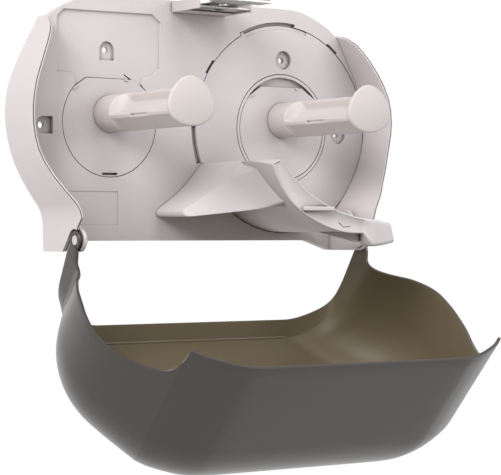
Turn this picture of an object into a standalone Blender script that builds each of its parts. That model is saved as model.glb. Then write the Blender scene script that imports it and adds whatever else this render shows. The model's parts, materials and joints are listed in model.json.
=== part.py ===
"""Double roll toilet paper dispenser for a wall, with its smoked cover swung open and down.

The origin is on the wall plane, midway between the two roll pegs and level with the centre of the
turning shutter ring. +X is to the right, +Y into the wall and +Z up, so what stands out from the wall
has a depth, which is counted along -Y.
"""

import math

import bmesh
import bpy

# Overall sizes, in metres.
ROLL_SPACING = 0.160
RING_R = 0.0822
SIDE_MARGIN = 0.0033
TOP_MARGIN = 0.0164
BOTTOM_MARGIN = 0.0065
EAR_DROP = 0.0078
HALF_WIDTH = ROLL_SPACING / 2 + RING_R + SIDE_MARGIN
COVER_TOP = RING_R + TOP_MARGIN
PLATE_BOTTOM = RING_R + BOTTOM_MARGIN
EAR_BOTTOM = PLATE_BOTTOM + EAR_DROP
FACE_DEPTH = 0.0072
COVER_DEPTH = 0.1395
WING_DEPTH = 0.0577

# Clearances.
SEAT_GAP = 0.0003
SLIDE_GAP = 0.0005
OVERRUN = 0.001
WELD = 0.000001

# Cover hinge.
HINGE_BEHIND = 0.0113
HINGE_DEPTH = WING_DEPTH - HINGE_BEHIND
HINGE_RISE = 0.0006
ARM_OUT_SHARE = 0.805
HINGE_DROP = PLATE_BOTTOM - HINGE_RISE
HINGE_X = HALF_WIDTH * ARM_OUT_SHARE
OPEN_ANGLE = 130.0
HEAD_R = 0.0072
HEAD_WALL = 0.0024
HEAD_CLEAR = 0.0010
PIN_R = 0.0037
PIN_GAP = 0.0003
PIN_FLANGE_R = 0.0060
PIN_FLANGE = 0.0016
EAR_WALL = 0.0024
EAR_R = 0.0084
EAR_ROOT = 0.0150

# Back plate.
SHEET = 0.0024
FLOOR = 0.0019
EDGE_WALL = 0.0024
WING_WALL = 0.0022
WING_SEAT = 0.0003
EAR_SLOPE_IN = 0.0052
EAR_SLOPE_RUN = 0.0230
EAR_SLOPE_END = HINGE_X - EAR_SLOPE_IN
EAR_SLOPE_START = EAR_SLOPE_END - EAR_SLOPE_RUN
ORIGIN_PAD = 0.026
RIB_WALL = 0.0018
SCREW_HEIGHT = 0.055
SCREW_SIDE_HEIGHT = -0.003
SCREW_OFF_PEG = 0.0017
SCREW_EDGE = 0.0287
SCREW_INNER_X = ROLL_SPACING / 2 + SCREW_OFF_PEG
SCREW_OUTER_X = HALF_WIDTH - SCREW_EDGE
SCREW_BOSS_R = 0.0119
SCREW_POCKET_R = 0.0064
SCREW_POCKET_DROP = 0.0078
SCREW_SEAT_DEPTH = 0.0032
SCREW_HOLE_R = 0.0026
PANEL_STEP = 0.0010
LABEL_STEP = 0.0004
LABEL_WIDTH = 0.0456
LABEL_HEIGHT = 0.0254
LABEL_OUT = 0.0155
LABEL_RISE = 0.0180
LABEL_X = -(ROLL_SPACING / 2 + LABEL_OUT)
LABEL_Z = -(RING_R - LABEL_RISE)
ACCESS_R = 0.0115

# Hub discs and their seats.
HUB_R = 0.0406
HUB_CHORD = 0.0332
HUB_CHORD_HALF = 0.020
HUB_CHAMFER_X = 0.0315
HUB_THICK = 0.0030
HUB_SLOT_LENGTH = 0.0132
HUB_SLOT_WIDTH = 0.0018
HUB_SLOT_IN = 0.0013
JOURNAL_WALL = 0.0022

# Pegs.
PEG_RISE = 0.0068
PEG_R = 0.0140
PEG_FRONT = 0.1200
PEG_CAP_THICK = 0.0032
PEG_CAP_WIDTH = 0.0395
PEG_CAP_UP = 0.0218
PEG_CAP_DOWN = 0.0142
PEG_SCOOP_START = 0.0290
PEG_SCOOP_RUN = 0.0150
PEG_CORE_R = 0.0045
PEG_LOWER_CORE_R = 0.0098
PEG_NOTCH = 0.0012
PEG_SPIGOT_R = 0.0090
PEG_BORE_R = 0.0026
PEG_BORE_LENGTH = 0.022
PEG_SCREW_R = 0.0022
PEG_SCREW_HEAD_R = 0.0050
PEG_SCREW_HEAD = 0.0024
PEG_SCREW_LENGTH = 0.020
PEG_SCREW_SOCKET_R = 0.0018
PEG_SCREW_SOCKET = 0.0012

# Shutter ring.
RING_GAP = 0.0006
RING_THICK = 0.0030
STOP_ARC_OUT = 0.0030
STOP_ARC_R = RING_R + STOP_ARC_OUT
STOP_ARC_LIP = 0.0030
STOP_START_ANGLE = 118.8
STOP_END_ANGLE = 81.1
STOP_LUG_ANGLE = 3.0
STOP_LUG_OUT = 0.0022
SHUTTER_TURN = 34.0
LUG_OUT = 0.0017
LUG_THICK = 0.0012
LUG_HALF_ANGLE = 3.6
LUG_REST_TURN = 8.0
NOTCH_HALF_ANGLE = 4.2
NOTCH_ANGLES = (146.0, 53.0, 228.0)
SIDE_SLOT_OUT = 0.0044
SIDE_SLOT_R = RING_R + SIDE_SLOT_OUT
SIDE_SLOT_START = 180.0
SIDE_SLOT_END = 200.0
RING_EYE_R = 0.0074
TAB_SLOT_ANGLES = (208.0, 232.0, 256.0)
TAB_HALF_ANGLE = 3.0
TAB_SLOT_WALL = 0.0016

# Shutter paddle.
PADDLE_FRONT = 0.1150
PADDLE_WALL = 0.0026
WING_TIP_DEPTH = 0.0360
WING_CREASE_DEPTH = 0.0600
WING_UPPER_END = 0.0780
WING_LOWER_END = 0.0920
WING_HOLLOW = 0.0330
FLANGE_WALL = 0.0026
THUMB_START = 0.0020
THUMB_WIDTH = 0.0175
THUMB_UP = 0.0072
THUMB_DOWN = 0.0108
THUMB_REACH = 0.0110
THUMB_OUT = 0.0050
THUMB_LEFT = ROLL_SPACING / 2 + THUMB_START
THUMB_RIGHT = THUMB_LEFT + THUMB_WIDTH
THUMB_TOP = RING_R - THUMB_UP
THUMB_BOTTOM = RING_R + THUMB_DOWN
THUMB_BACK = PADDLE_FRONT - THUMB_REACH
THUMB_FRONT = PADDLE_FRONT + THUMB_OUT
KEEL_BACK = 0.0610
KEEL_DROP = 0.0072
KEEL_HALF = 0.0050
LEDGE_START_SHARE = 0.7238
LEDGE_END_SHARE = 0.3832
LEDGE_DROP_SHARE = 0.7689
LEDGE_LEFT = ROLL_SPACING / 2 - RING_R * LEDGE_START_SHARE
LEDGE_RIGHT = ROLL_SPACING / 2 - RING_R * LEDGE_END_SHARE
LEDGE_DROP = RING_R * LEDGE_DROP_SHARE
LEDGE_TALL = 0.0032
LEDGE_OUT = 0.0030

# Cover.
COVER_WALL = 0.0022
COVER_GAP = 0.0007
COVER_ROUND = 0.0600
COVER_DRAFT = 0.0012
COVER_BULGE_SPAN = 0.0850
CREASE_RISE = 0.0160
STRIP_RISE = 0.0062
SKIRT_UNDER = 0.0053
CREASE_DROP = HINGE_DROP - CREASE_RISE
STRIP_DROP = HINGE_DROP - STRIP_RISE
SKIRT_DROP = HINGE_DROP + SKIRT_UNDER
SKIRT_RISE = 0.0165
STRIP_START = 0.0880
ARM_IN = 0.0008
WALL_CLEAR = 0.0006

# Latch.
LATCH_HALF = 0.0251
LATCH_WALL = 0.0020
LATCH_FRONT = 0.0450
LATCH_UNDER = 0.0040
LATCH_TALL = 0.0080
LATCH_TOP = COVER_TOP - LATCH_UNDER
LATCH_BOTTOM = LATCH_TOP - LATCH_TALL
LATCH_WEB = 0.0030
FRAME_SHEET = 0.0010
FRAME_GAP = 0.0004
FRAME_BACK = 0.0110
FRAME_FRONT = 0.0440
FRAME_EAR = 0.0070
PIVOT_DEPTH = 0.0200
PIVOT_RISE = 0.0046
PIVOT_HEIGHT = LATCH_BOTTOM + PIVOT_RISE
PIVOT_PIN_R = 0.0010
BOLT_SHEET = 0.0012
BOLT_HALF = 0.0150
BOLT_HEAD_HALF = 0.0232
BOLT_HEAD_BACK = 0.0570
BOLT_FRONT = 0.0730
BOLT_BARB = 0.0022
BOLT_BACK = 0.0140
BOLT_HOLE_HALF = 0.0050
BOLT_BARREL_R = 0.0019
BOLT_DROP = 0.0008
SPRING_R = 0.0020
SPRING_WIRE = 0.0006
SPRING_TURNS = 5
SPRING_LEG = 0.0100
LATCH_SCREW_X = 0.0165
LATCH_SCREW_R = 0.0014
LATCH_SCREW_HEAD_R = 0.0024
LATCH_SCREW_HEAD = 0.0018
LATCH_SCREW_LENGTH = 0.0075
LATCH_SCREW_HEIGHT = LATCH_BOTTOM + LATCH_WALL / 2 + FRAME_SHEET + 2 * SEAT_GAP + LATCH_SCREW_HEAD_R

# Cover catch.
CATCH_HALF = 0.0210
CATCH_WALL = 0.0022
CATCH_HOOK = 0.0062
CATCH_BACK = BOLT_FRONT - CATCH_HOOK
CATCH_FOOT = 0.0100
CATCH_FOOT_SHEET = 0.0012
CATCH_HANG = 0.00245
CATCH_STAND = 0.0007
CATCH_BOSS_R = 0.0030
CATCH_BOSS_X = 0.0150
CATCH_SCREW_R = 0.0010
CATCH_SCREW_HEAD_R = 0.0022
CATCH_SCREW_HEAD = 0.0008
CATCH_SCREW_LENGTH = 0.0032

# The outer outline, from the bottom of the wing to the middle of the top:
# shares of HALF_WIDTH and of COVER_TOP.
OUTLINE_SHARES = (
    (0.805, -0.979), (0.806, -0.862), (0.811, -0.731), (0.833, -0.636), (0.885, -0.517), (0.949, -0.329),
    (0.985, -0.141), (0.998, 0.060), (0.981, 0.262), (0.934, 0.454), (0.877, 0.638), (0.838, 0.759),
    (0.827, 0.786), (0.776, 0.857), (0.687, 0.933), (0.613, 0.977), (0.541, 0.997), (0.363, 1.0),
    (0.181, 1.0), (0.0, 1.0),
)
CREASE_INDEX = 2
CORNER_INDEX = 12

# How far the wing's front edge stands out: shares of COVER_TOP and of WING_DEPTH.
WING_EDGE_SHARES = (
    (-0.979, 0.728), (-0.804, 0.868), (-0.758, 0.977), (-0.699, 1.0), (-0.573, 0.938), (-0.411, 0.806),
    (-0.214, 0.718), (-0.030, 0.718), (0.130, 0.726), (0.331, 0.702), (0.500, 0.634), (0.649, 0.520),
    (0.714, 0.432), (0.759, 0.296), (0.786, 0.140),
)

# The sunk panel's outline on the plate: shares of HALF_WIDTH and of COVER_TOP.
PANEL_SHARES = (
    (-0.754, 0.792), (-0.723, 0.843), (-0.255, 0.848), (-0.211, 0.789), (-0.216, 0.435), (-0.251, 0.383),
    (-0.300, 0.356), (-0.316, 0.309), (-0.300, 0.255), (-0.480, 0.180), (-0.660, 0.255), (-0.670, 0.375),
    (-0.754, 0.375),
)

# The paddle's section with its wing whole, from the ridge by the wing's tip to where it joins the
# cradle, about the ring's centre: shares of RING_R. Then the same where the wing's front face starts.
WING_SHARES = (
    (-0.946, -0.359), (-0.993, -0.411), (-1.047, -0.474), (-1.117, -0.550), (-1.214, -0.635),
    (-1.337, -0.723), (-1.418, -0.779), (-1.446, -0.820), (-1.422, -0.859), (-1.308, -0.849),
    (-1.141, -0.828), (-0.976, -0.805), (-0.820, -0.777), (-0.690, -0.765),
)
WING_FRONT_SHARES = (
    (-0.946, -0.359), (-0.988, -0.405), (-1.036, -0.462), (-1.097, -0.530), (-1.168, -0.596),
    (-1.247, -0.659), (-1.326, -0.715), (-1.223, -0.766), (-1.095, -0.814), (-1.028, -0.811),
    (-0.955, -0.803), (-0.882, -0.791), (-0.809, -0.777), (-0.690, -0.765),
)
# The angles about the ring's centre that those points run in to, and those of the plain cradle.
WING_ANGLES = (
    200.8, 202.0, 203.3, 204.8, 206.5, 208.3, 210.3,
    213.0, 216.0, 218.6, 221.0, 223.4, 225.6, 228.0,
)
WING_TIP_INDEX = 7
# How much each of those points belongs to the wing's lower side.
LOWER_SIDE_SHARES = (0.0, 0.0, 0.0, 0.0, 0.0, 0.08, 0.22, 0.5, 0.78, 0.92, 1.0, 1.0, 1.0, 1.0)
CRADLE_ANGLES = (232.0, 238.0, 246.0, 255.0, 264.0, 272.0)
# How far the cradle flares out at its front: angle, then a share of RING_R.
FLARE_SHARES = (
    (200.0, 0.126), (219.0, 0.126), (228.0, 0.103),
    (240.0, 0.066), (252.0, 0.040), (272.0, 0.0),
)
PADDLE_DEPTH_SHARES = (
    0.16, 0.313, 0.36, 0.41, 0.46, 0.50, 0.522, 0.545, 0.575, 0.61, 0.65, 0.70, 0.76, 0.83, 0.91, 0.985,
)
HOLLOW_FIRST_INDEX = 1
HOLLOW_LAST_INDEX = 12
HOLLOW_ANGLES = (219.5, 212.0, 205.0)

# The front flange: angle about the ring's centre, then inner and outer radius as shares of RING_R.
FLANGE_SHARES = (
    (199.5, 1.010, 1.095), (204.5, 0.988, 1.104), (213.0, 0.950, 1.110), (226.0, 0.902, 1.095),
    (236.5, 0.876, 1.070), (247.0, 0.864, 1.048), (260.0, 0.862, 1.024), (275.0, 0.890, 1.010),
    (284.0, 0.940, 1.030),
)

RIM_STEPS = 2
ROUND_STEPS = 7
FRONT_SHARES = (0.30, 0.65, 1.0)
SKIRT_STEPS = 3

WARM_WHITE = (0.66, 0.60, 0.58, 1.0)
COOL_WHITE = (0.60, 0.56, 0.56, 1.0)
SMOKE = (0.085, 0.075, 0.062, 1.0)
STEEL = (0.56, 0.56, 0.57, 1.0)


# Helpers for points, outlines and solids.
def remove_everything():
    for obj in list(bpy.data.objects):
        bpy.data.objects.remove(obj, do_unlink=True)


def place(x, depth, z):
    return (x, -depth, z)


def polar(centre, radius, degrees):
    angle = math.radians(degrees)
    return (centre[0] + radius * math.cos(angle), centre[1] + radius * math.sin(angle))


def mix(a, b, share):
    return a + (b - a) * share


def ease(share):
    share = min(1.0, max(0.0, share))
    return share * share * (3.0 - 2.0 * share)


def smooth_value(table, at):
    """A smooth curve through a table of (place, value), read at one place."""
    if at <= table[0][0]:
        return table[0][1]
    if at >= table[-1][0]:
        return table[-1][1]
    index = max(i for i in range(len(table) - 1) if table[i][0] <= at)
    (x0, y0), (x1, y1) = table[index], table[index + 1]
    before = table[max(index - 1, 0)]
    after = table[min(index + 2, len(table) - 1)]
    slope0 = (y1 - before[1]) / (x1 - before[0])
    slope1 = (after[1] - y0) / (after[0] - x0)
    t = (at - x0) / (x1 - x0)
    run = x1 - x0
    return (
        y0 * (2 * t**3 - 3 * t**2 + 1)
        + slope0 * run * (t**3 - 2 * t**2 + t)
        + y1 * (3 * t**2 - 2 * t**3)
        + slope1 * run * (t**3 - t**2)
    )


def smooth_path(points, steps):
    """Points of a smooth curve through the given points, with the given steps between each two."""
    path = []
    for index in range(len(points) - 1):
        a, b = points[max(index - 1, 0)], points[index]
        c, d = points[index + 1], points[min(index + 2, len(points) - 1)]
        for step in range(steps):
            t = step / steps
            path.append(
                tuple(
                    0.5
                    * (
                        2 * b[k]
                        + (c[k] - a[k]) * t
                        + (2 * a[k] - 5 * b[k] + 4 * c[k] - d[k]) * t**2
                        + (3 * b[k] - a[k] - 3 * c[k] + d[k]) * t**3
                    )
                    for k in range(2)
                )
            )
    path.append(tuple(points[-1]))
    return path


def inset_path(path, distances):
    """The path moved to its left by a distance for each of its points."""
    moved = []
    for index, (x, z) in enumerate(path):
        before = path[max(index - 1, 0)]
        after = path[min(index + 1, len(path) - 1)]
        run_x, run_z = after[0] - before[0], after[1] - before[1]
        length = math.hypot(run_x, run_z)
        moved.append((x - run_z / length * distances[index], z + run_x / length * distances[index]))
    return moved


def circle(centre, radius, segments):
    return [polar(centre, radius, 360.0 * i / segments) for i in range(segments)]


def new_object(name, bm):
    mesh = bpy.data.meshes.new(name)
    bm.to_mesh(mesh)
    bm.free()
    obj = bpy.data.objects.new(name, mesh)
    bpy.context.scene.collection.objects.link(obj)
    return obj


def closed_object(name, bm):
    bmesh.ops.remove_doubles(bm, verts=bm.verts, dist=WELD / 10)
    bmesh.ops.recalc_face_normals(bm, faces=bm.faces)
    if bm.calc_volume(signed=True) < 0:
        bmesh.ops.reverse_faces(bm, faces=bm.faces)
    return new_object(name, bm)


def prism(name, outline, near, far):
    """A flat outline in X and Z, made solid between two depths."""
    bm = bmesh.new()
    back = [bm.verts.new(place(x, near, z)) for x, z in outline]
    front = [bm.verts.new(place(x, far, z)) for x, z in outline]
    count = len(outline)
    bm.faces.new(back)
    bm.faces.new(front)
    for i in range(count):
        bm.faces.new((back[i], back[(i + 1) % count], front[(i + 1) % count], front[i]))
    return closed_object(name, bm)


def side_prism(name, outline, left, right):
    """A flat outline in depth and Z, made solid between two X places."""
    bm = bmesh.new()
    first = [bm.verts.new(place(left, depth, z)) for depth, z in outline]
    second = [bm.verts.new(place(right, depth, z)) for depth, z in outline]
    count = len(outline)
    bm.faces.new(first)
    bm.faces.new(second)
    for i in range(count):
        bm.faces.new((first[i], first[(i + 1) % count], second[(i + 1) % count], second[i]))
    return closed_object(name, bm)


def block(name, left, right, near, far, bottom, top):
    return prism(name, [(left, bottom), (right, bottom), (right, top), (left, top)], near, far)


def disc(name, centre, radius, near, far, segments=48):
    return prism(name, circle(centre, radius, segments), near, far)


def side_disc(name, centre, radius, left, right, segments=24):
    return side_prism(name, circle(centre, radius, segments), left, right)


def sector(name, centre, inner, outer, start, end, near, far, steps):
    """A band of a ring between two angles and two depths."""
    angles = [mix(start, end, i / steps) for i in range(steps + 1)]
    outline = [polar(centre, outer, a) for a in angles]
    outline += [polar(centre, inner, a) for a in reversed(angles)]
    return prism(name, outline, near, far)


def annulus(name, centre, inner, outer, near, far, segments=72):
    bm = bmesh.new()
    loops = []
    for radius, depth in ((inner, near), (outer, near), (outer, far), (inner, far)):
        loops.append([bm.verts.new(place(x, depth, z)) for x, z in circle(centre, radius, segments)])
    for k in range(4):
        one, two = loops[k], loops[(k + 1) % 4]
        for i in range(segments):
            j = (i + 1) % segments
            bm.faces.new((one[i], one[j], two[j], two[i]))
    return closed_object(name, bm)


def loft(name, rows, around):
    """A closed solid through rows of points; the sides close on themselves where around is true."""
    bm = bmesh.new()
    made = [[bm.verts.new(point) for point in row] for row in rows]
    count = len(rows[0])
    for one, two in zip(made, made[1:]):
        for i in range(count if around else count - 1):
            j = (i + 1) % count
            bm.faces.new((one[i], one[j], two[j], two[i]))
    if around:
        bm.faces.new(made[0])
        bm.faces.new(made[-1])
    bmesh.ops.remove_doubles(bm, verts=bm.verts, dist=WELD)
    bmesh.ops.triangulate(bm, faces=bm.faces)
    return closed_object(name, bm)


def settle(obj):
    """Applies the object's modifiers to its mesh, and joins the points that a cut left on each other."""
    graph = bpy.context.evaluated_depsgraph_get()
    mesh = bpy.data.meshes.new_from_object(obj.evaluated_get(graph))
    obj.modifiers.clear()
    bm = bmesh.new()
    bm.from_mesh(mesh)
    bmesh.ops.remove_doubles(bm, verts=bm.verts, dist=WELD)
    bmesh.ops.dissolve_degenerate(bm, edges=bm.edges, dist=WELD)
    bm.to_mesh(mesh)
    bm.free()
    obj.data = mesh


def combine(target, tools, operation, solver="EXACT"):
    for tool in tools:
        modifier = target.modifiers.new(operation, "BOOLEAN")
        modifier.operation = operation
        modifier.solver = solver
        modifier.object = tool
        settle(target)
        bpy.data.objects.remove(tool, do_unlink=True)
    return target


def add(target, *tools):
    return combine(target, tools, "UNION")


def cut(target, *tools):
    return combine(target, tools, "DIFFERENCE")


def carve(target, *tools):
    """A cut for a mesh with many small faces, which Blender's other solver handles better."""
    return combine(target, tools, "DIFFERENCE", "MANIFOLD")


def keep_common(target, *tools):
    return combine(target, tools, "INTERSECT")


def tidy(obj):
    """Leaves out points and edges that a cut left on a straight edge or a flat face."""
    bm = bmesh.new()
    bm.from_mesh(obj.data)
    bmesh.ops.remove_doubles(bm, verts=bm.verts, dist=WELD * 2)
    bmesh.ops.dissolve_limit(bm, angle_limit=math.radians(0.4), verts=bm.verts, edges=bm.edges)
    bmesh.ops.triangulate(bm, faces=bm.faces)
    bm.to_mesh(obj.data)
    bm.free()
    return obj


def finish(obj, material):
    obj.data.materials.clear()
    obj.data.materials.append(material)
    obj.data.shade_smooth()
    obj.data.set_sharp_from_angle(angle=math.radians(30))
    return obj


def set_origin(obj, point):
    """Moves the object's origin to a point, with its shape left where it is."""
    for vertex in obj.data.vertices:
        vertex.co.x -= point[0]
        vertex.co.y -= point[1]
        vertex.co.z -= point[2]
    obj.location = point
    return obj


def plastic(name, colour, roughness, metallic=0.0, alpha=1.0):
    material = bpy.data.materials.new(name)
    material.use_nodes = True
    shader = material.node_tree.nodes["Principled BSDF"]
    shader.inputs["Base Color"].default_value = colour
    shader.inputs["Roughness"].default_value = roughness
    shader.inputs["Metallic"].default_value = metallic
    shader.inputs["Alpha"].default_value = alpha
    return material


# Places that several pieces share.
RING_CENTRE = (ROLL_SPACING / 2, 0.0)
LEFT_CENTRE = (-ROLL_SPACING / 2, 0.0)
RECESS_DEPTH = FACE_DEPTH - RING_THICK - SEAT_GAP
HUB_SEAT_R = HUB_R + SLIDE_GAP
JOURNAL_R = HUB_SEAT_R + JOURNAL_WALL
RING_BORE_R = JOURNAL_R + SLIDE_GAP
HINGE_POINT = (HINGE_DEPTH, -HINGE_DROP)
PIVOT_POINT = (PIVOT_DEPTH, PIVOT_HEIGHT)


def outline_points():
    return [(x * HALF_WIDTH, z * COVER_TOP) for x, z in OUTLINE_SHARES]


def wing_edge(z):
    return smooth_value([(a * COVER_TOP, b * WING_DEPTH) for a, b in WING_EDGE_SHARES], z)


def clear_edge(z):
    """How deep the cover's rim stays off the wing's edge, also where that edge is steep."""
    return COVER_GAP + max(wing_edge(z - COVER_GAP), wing_edge(z + COVER_GAP))


def strip_depth(z):
    """The shut depth at which the cover's bottom strip meets the wall once the cover is open."""
    angle = math.radians(OPEN_ANGLE)
    rise = z + HINGE_DROP
    return HINGE_DEPTH + (WALL_CLEAR - HINGE_DEPTH - rise * math.sin(angle)) / math.cos(angle)


# Back plate.
def tray_outline():
    """The plate's edge: inside the wings at the sides, and inside the shut cover at the top."""
    points = outline_points()
    steps = 2
    path = smooth_path(points, steps)
    corner = CORNER_INDEX * steps
    under_cover = COVER_WALL + COVER_GAP
    distances = [WING_WALL / 2 if i < corner else under_cover for i in range(len(path))]
    right = inset_path(path, distances)
    right[0] = (right[0][0], -EAR_BOTTOM)
    left = [(-x, z) for x, z in reversed(right[:-1])]
    bottom = [
        (-EAR_SLOPE_END, -EAR_BOTTOM),
        (-EAR_SLOPE_START, -PLATE_BOTTOM),
        (EAR_SLOPE_START, -PLATE_BOTTOM),
        (EAR_SLOPE_END, -EAR_BOTTOM),
    ]
    return bottom + right + left


def shrunk(outline, distance):
    """A closed outline, run anticlockwise, moved inwards."""
    count = len(outline)
    moved = []
    for i, (x, z) in enumerate(outline):
        before, after = outline[i - 1], outline[(i + 1) % count]
        in_x, in_z = x - before[0], z - before[1]
        out_x, out_z = after[0] - x, after[1] - z
        length_in, length_out = math.hypot(in_x, in_z), math.hypot(out_x, out_z)
        normal_x = -(in_z / length_in + out_z / length_out)
        normal_z = in_x / length_in + out_x / length_out
        square = normal_x**2 + normal_z**2
        moved.append((x + 2 * normal_x * distance / square, z + 2 * normal_z * distance / square))
    return moved


def wing(side):
    """A side wall, whose front edge follows the shut cover's rim."""
    steps = 2
    path = smooth_path(outline_points(), steps)[: CORNER_INDEX * steps + 1]
    inner = inset_path(path, [WING_WALL] * len(path))
    rows = []
    for (x, z), (inner_x, inner_z) in zip(path, inner):
        edge = wing_edge(z)
        rows.append(
            [
                place(side * x, WING_SEAT, z),
                place(side * x, edge, z),
                place(side * inner_x, edge, inner_z),
                place(side * inner_x, WING_SEAT, inner_z),
            ]
        )
    return loft("wing", rows, True)


def hinge_ear(side):
    """The ear that holds a hinge pin, inboard of the cover's arm."""
    outer = HINGE_X - HEAD_WALL - PIN_GAP - SLIDE_GAP
    steps = 12
    depth, height = HINGE_POINT
    outline = [polar(HINGE_POINT, EAR_R, mix(-90, 75, i / steps)) for i in range(steps + 1)]
    root = FACE_DEPTH - SHEET / 2
    outline += [(depth - EAR_ROOT, height + EAR_ROOT + EAR_R), (root, height + EAR_ROOT + EAR_R)]
    outline += [(root, height - EAR_R + SLIDE_GAP)]
    ear = side_prism("ear", outline, side * outer, side * (outer - EAR_WALL))
    hole = side_disc("hole", HINGE_POINT, PIN_R + PIN_GAP, side * (outer - EAR_R), side * (outer + EAR_R))
    return cut(ear, hole)


def ear_web(side):
    """The web that joins a hinge ear to the wing beside it, behind the cover's arm."""
    inner = HINGE_X - HEAD_WALL - PIN_GAP - SLIDE_GAP - EAR_WALL
    reach = HINGE_DEPTH - HEAD_R - HEAD_CLEAR - EAR_ROOT
    return block(
        "web",
        side * (inner + OVERRUN),
        side * (HINGE_X - WING_WALL / 2),
        FACE_DEPTH - OVERRUN,
        reach,
        -HINGE_DROP,
        -HINGE_DROP + WING_WALL,
    )


def arm_sweep(side):
    """The space by the hinge that the cover's arm turns through."""
    clear = HEAD_R + HEAD_CLEAR
    angle = math.radians(OPEN_ANGLE)
    depth, height = HINGE_POINT
    along = (math.cos(angle), -math.sin(angle))
    across = (-math.sin(angle), -math.cos(angle))
    start = (depth + across[0] * clear, height + across[1] * clear)
    reach = HINGE_DROP
    steps = 16
    round_start = 180.0 - (OPEN_ANGLE - 90.0)
    outline = [polar(HINGE_POINT, clear, mix(round_start, 0, i / steps)) for i in range(steps + 1)]
    outline += [(depth + clear, height - reach), (start[0] + along[0] * reach, start[1] + along[1] * reach)]
    outer = HINGE_X + OVERRUN
    inner = HINGE_X - HEAD_WALL - PIN_GAP
    return side_prism("sweep", outline, side * inner, side * outer)


def screw_places():
    inner = [(side * SCREW_INNER_X, SCREW_HEIGHT) for side in (-1, 1)]
    outer = [(side * SCREW_OUTER_X, SCREW_SIDE_HEIGHT) for side in (-1, 1)]
    return inner + outer


def keyhole_pocket(centre, turned):
    """A pocket with one round end and one square end."""
    steps = 12
    start = 90 if turned else 0
    outline = [polar(centre, SCREW_POCKET_R, start + 180 * i / steps) for i in range(steps + 1)]
    if turned:
        outline += [(centre[0] + SCREW_POCKET_DROP, centre[1] - SCREW_POCKET_R)]
        outline += [(centre[0] + SCREW_POCKET_DROP, centre[1] + SCREW_POCKET_R)]
    else:
        outline += [(centre[0] - SCREW_POCKET_R, centre[1] - SCREW_POCKET_DROP)]
        outline += [(centre[0] + SCREW_POCKET_R, centre[1] - SCREW_POCKET_DROP)]
    return prism("pocket", outline, SCREW_SEAT_DEPTH, FACE_DEPTH + OVERRUN)


def hub_outline(centre, radius, chord):
    """A hub disc's outline: round, with a flat top between two slanted corners."""
    steps = 44
    right = math.degrees(math.acos(HUB_CHAMFER_X / HUB_R))
    sweep = 360.0 - (180.0 - 2 * right)
    start = 180.0 - right
    outline = [polar(centre, radius, start + sweep * i / steps) for i in range(steps + 1)]
    outline.append((centre[0] + HUB_CHORD_HALF, centre[1] + chord))
    outline.append((centre[0] - HUB_CHORD_HALF, centre[1] + chord))
    return outline


def rear_pockets():
    """The hollows in the plate's back, which leave its sheet, its floors and its edge."""
    inside = shrunk(tray_outline(), EDGE_WALL)
    deep = prism("deep", inside, -OVERRUN, FACE_DEPTH - SHEET)
    keep_r = RING_R + RING_GAP + LUG_OUT + RIB_WALL + SEAT_GAP
    cut(
        deep,
        disc("keep", RING_CENTRE, keep_r, -OVERRUN * 2, FACE_DEPTH, 48),
        disc("keep", LEFT_CENTRE, HUB_SEAT_R + RIB_WALL, -OVERRUN * 2, FACE_DEPTH, 36),
    )
    shallow = disc("shallow", RING_CENTRE, keep_r - RIB_WALL, -OVERRUN, RECESS_DEPTH - FLOOR, 48)
    keep_common(shallow, prism("inside", inside, -OVERRUN * 2, FACE_DEPTH))
    left = disc("left", LEFT_CENTRE, HUB_SEAT_R, -OVERRUN, RECESS_DEPTH - FLOOR, 36)
    return [deep, shallow, left]


def rear_pads():
    """What stands in the plate's hollow back and bears on the wall."""
    half = ORIGIN_PAD / 2
    tall = FACE_DEPTH - SHEET / 2
    pads = [block("pad", -half, half, 0, tall, -half, half)]
    for centre in screw_places():
        pads.append(disc("boss", centre, SCREW_BOSS_R, 0, tall, 20))
    for z in (-PLATE_BOTTOM / 2, PLATE_BOTTOM / 2):
        pads.append(block("rib", -SCREW_OUTER_X, SCREW_OUTER_X, 0, tall, z, z + RIB_WALL))
    return pads


def seat_spans():
    """The spans where the ring's seat is wider: below its lip, and right up to the face."""
    groove_r = RING_R + RING_GAP + LUG_OUT
    low, high = [], []
    for angle in NOTCH_ANGLES:
        end = angle - LUG_REST_TURN - SHUTTER_TURN - NOTCH_HALF_ANGLE
        low.append((end, angle + NOTCH_HALF_ANGLE, groove_r))
        high.append((angle - NOTCH_HALF_ANGLE, angle + NOTCH_HALF_ANGLE, groove_r))
    for span in (
        (STOP_END_ANGLE, STOP_START_ANGLE, STOP_ARC_R),
        (SIDE_SLOT_START, SIDE_SLOT_END, SIDE_SLOT_R),
    ):
        low.append(span)
        high.append(span)
    return low, high


def seat_outline(spans, angles):
    """The seat's edge at each angle; an angle is given twice where a span starts or ends."""
    path = []
    for degrees, side in angles:
        radius = RING_R + RING_GAP
        for start, end, wide in spans:
            if start < degrees < end or (degrees == start and side > 0) or (degrees == end and side < 0):
                radius = max(radius, wide)
        path.append(polar(RING_CENTRE, radius, degrees))
    return path


def ring_seat(top):
    """The space that the ring turns in, with the grooves, notches and stops for its lugs."""
    low, high = seat_spans()
    angles = {(360.0 * i / 60 + 3.1, 0) for i in range(60)}
    for start, end, _ in low + high:
        angles = {(a, side) for a, side in angles if min(abs(a - start), abs(a - end)) > 1.5}
        angles |= {(start, -1), (start, 1), (end, -1), (end, 1)}
    angles = sorted(angles)
    groove_top = RECESS_DEPTH + LUG_THICK + 2 * SEAT_GAP
    rows = []
    for depth, spans in ((RECESS_DEPTH, low), (groove_top, low), (groove_top, high), (top, high)):
        rows.append([place(x, depth, z) for x, z in seat_outline(spans, angles)])
    seat = loft("seat", rows, True)
    return cut(seat, disc("journal", RING_CENTRE, JOURNAL_R, 0, top + OVERRUN, 60))


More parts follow.
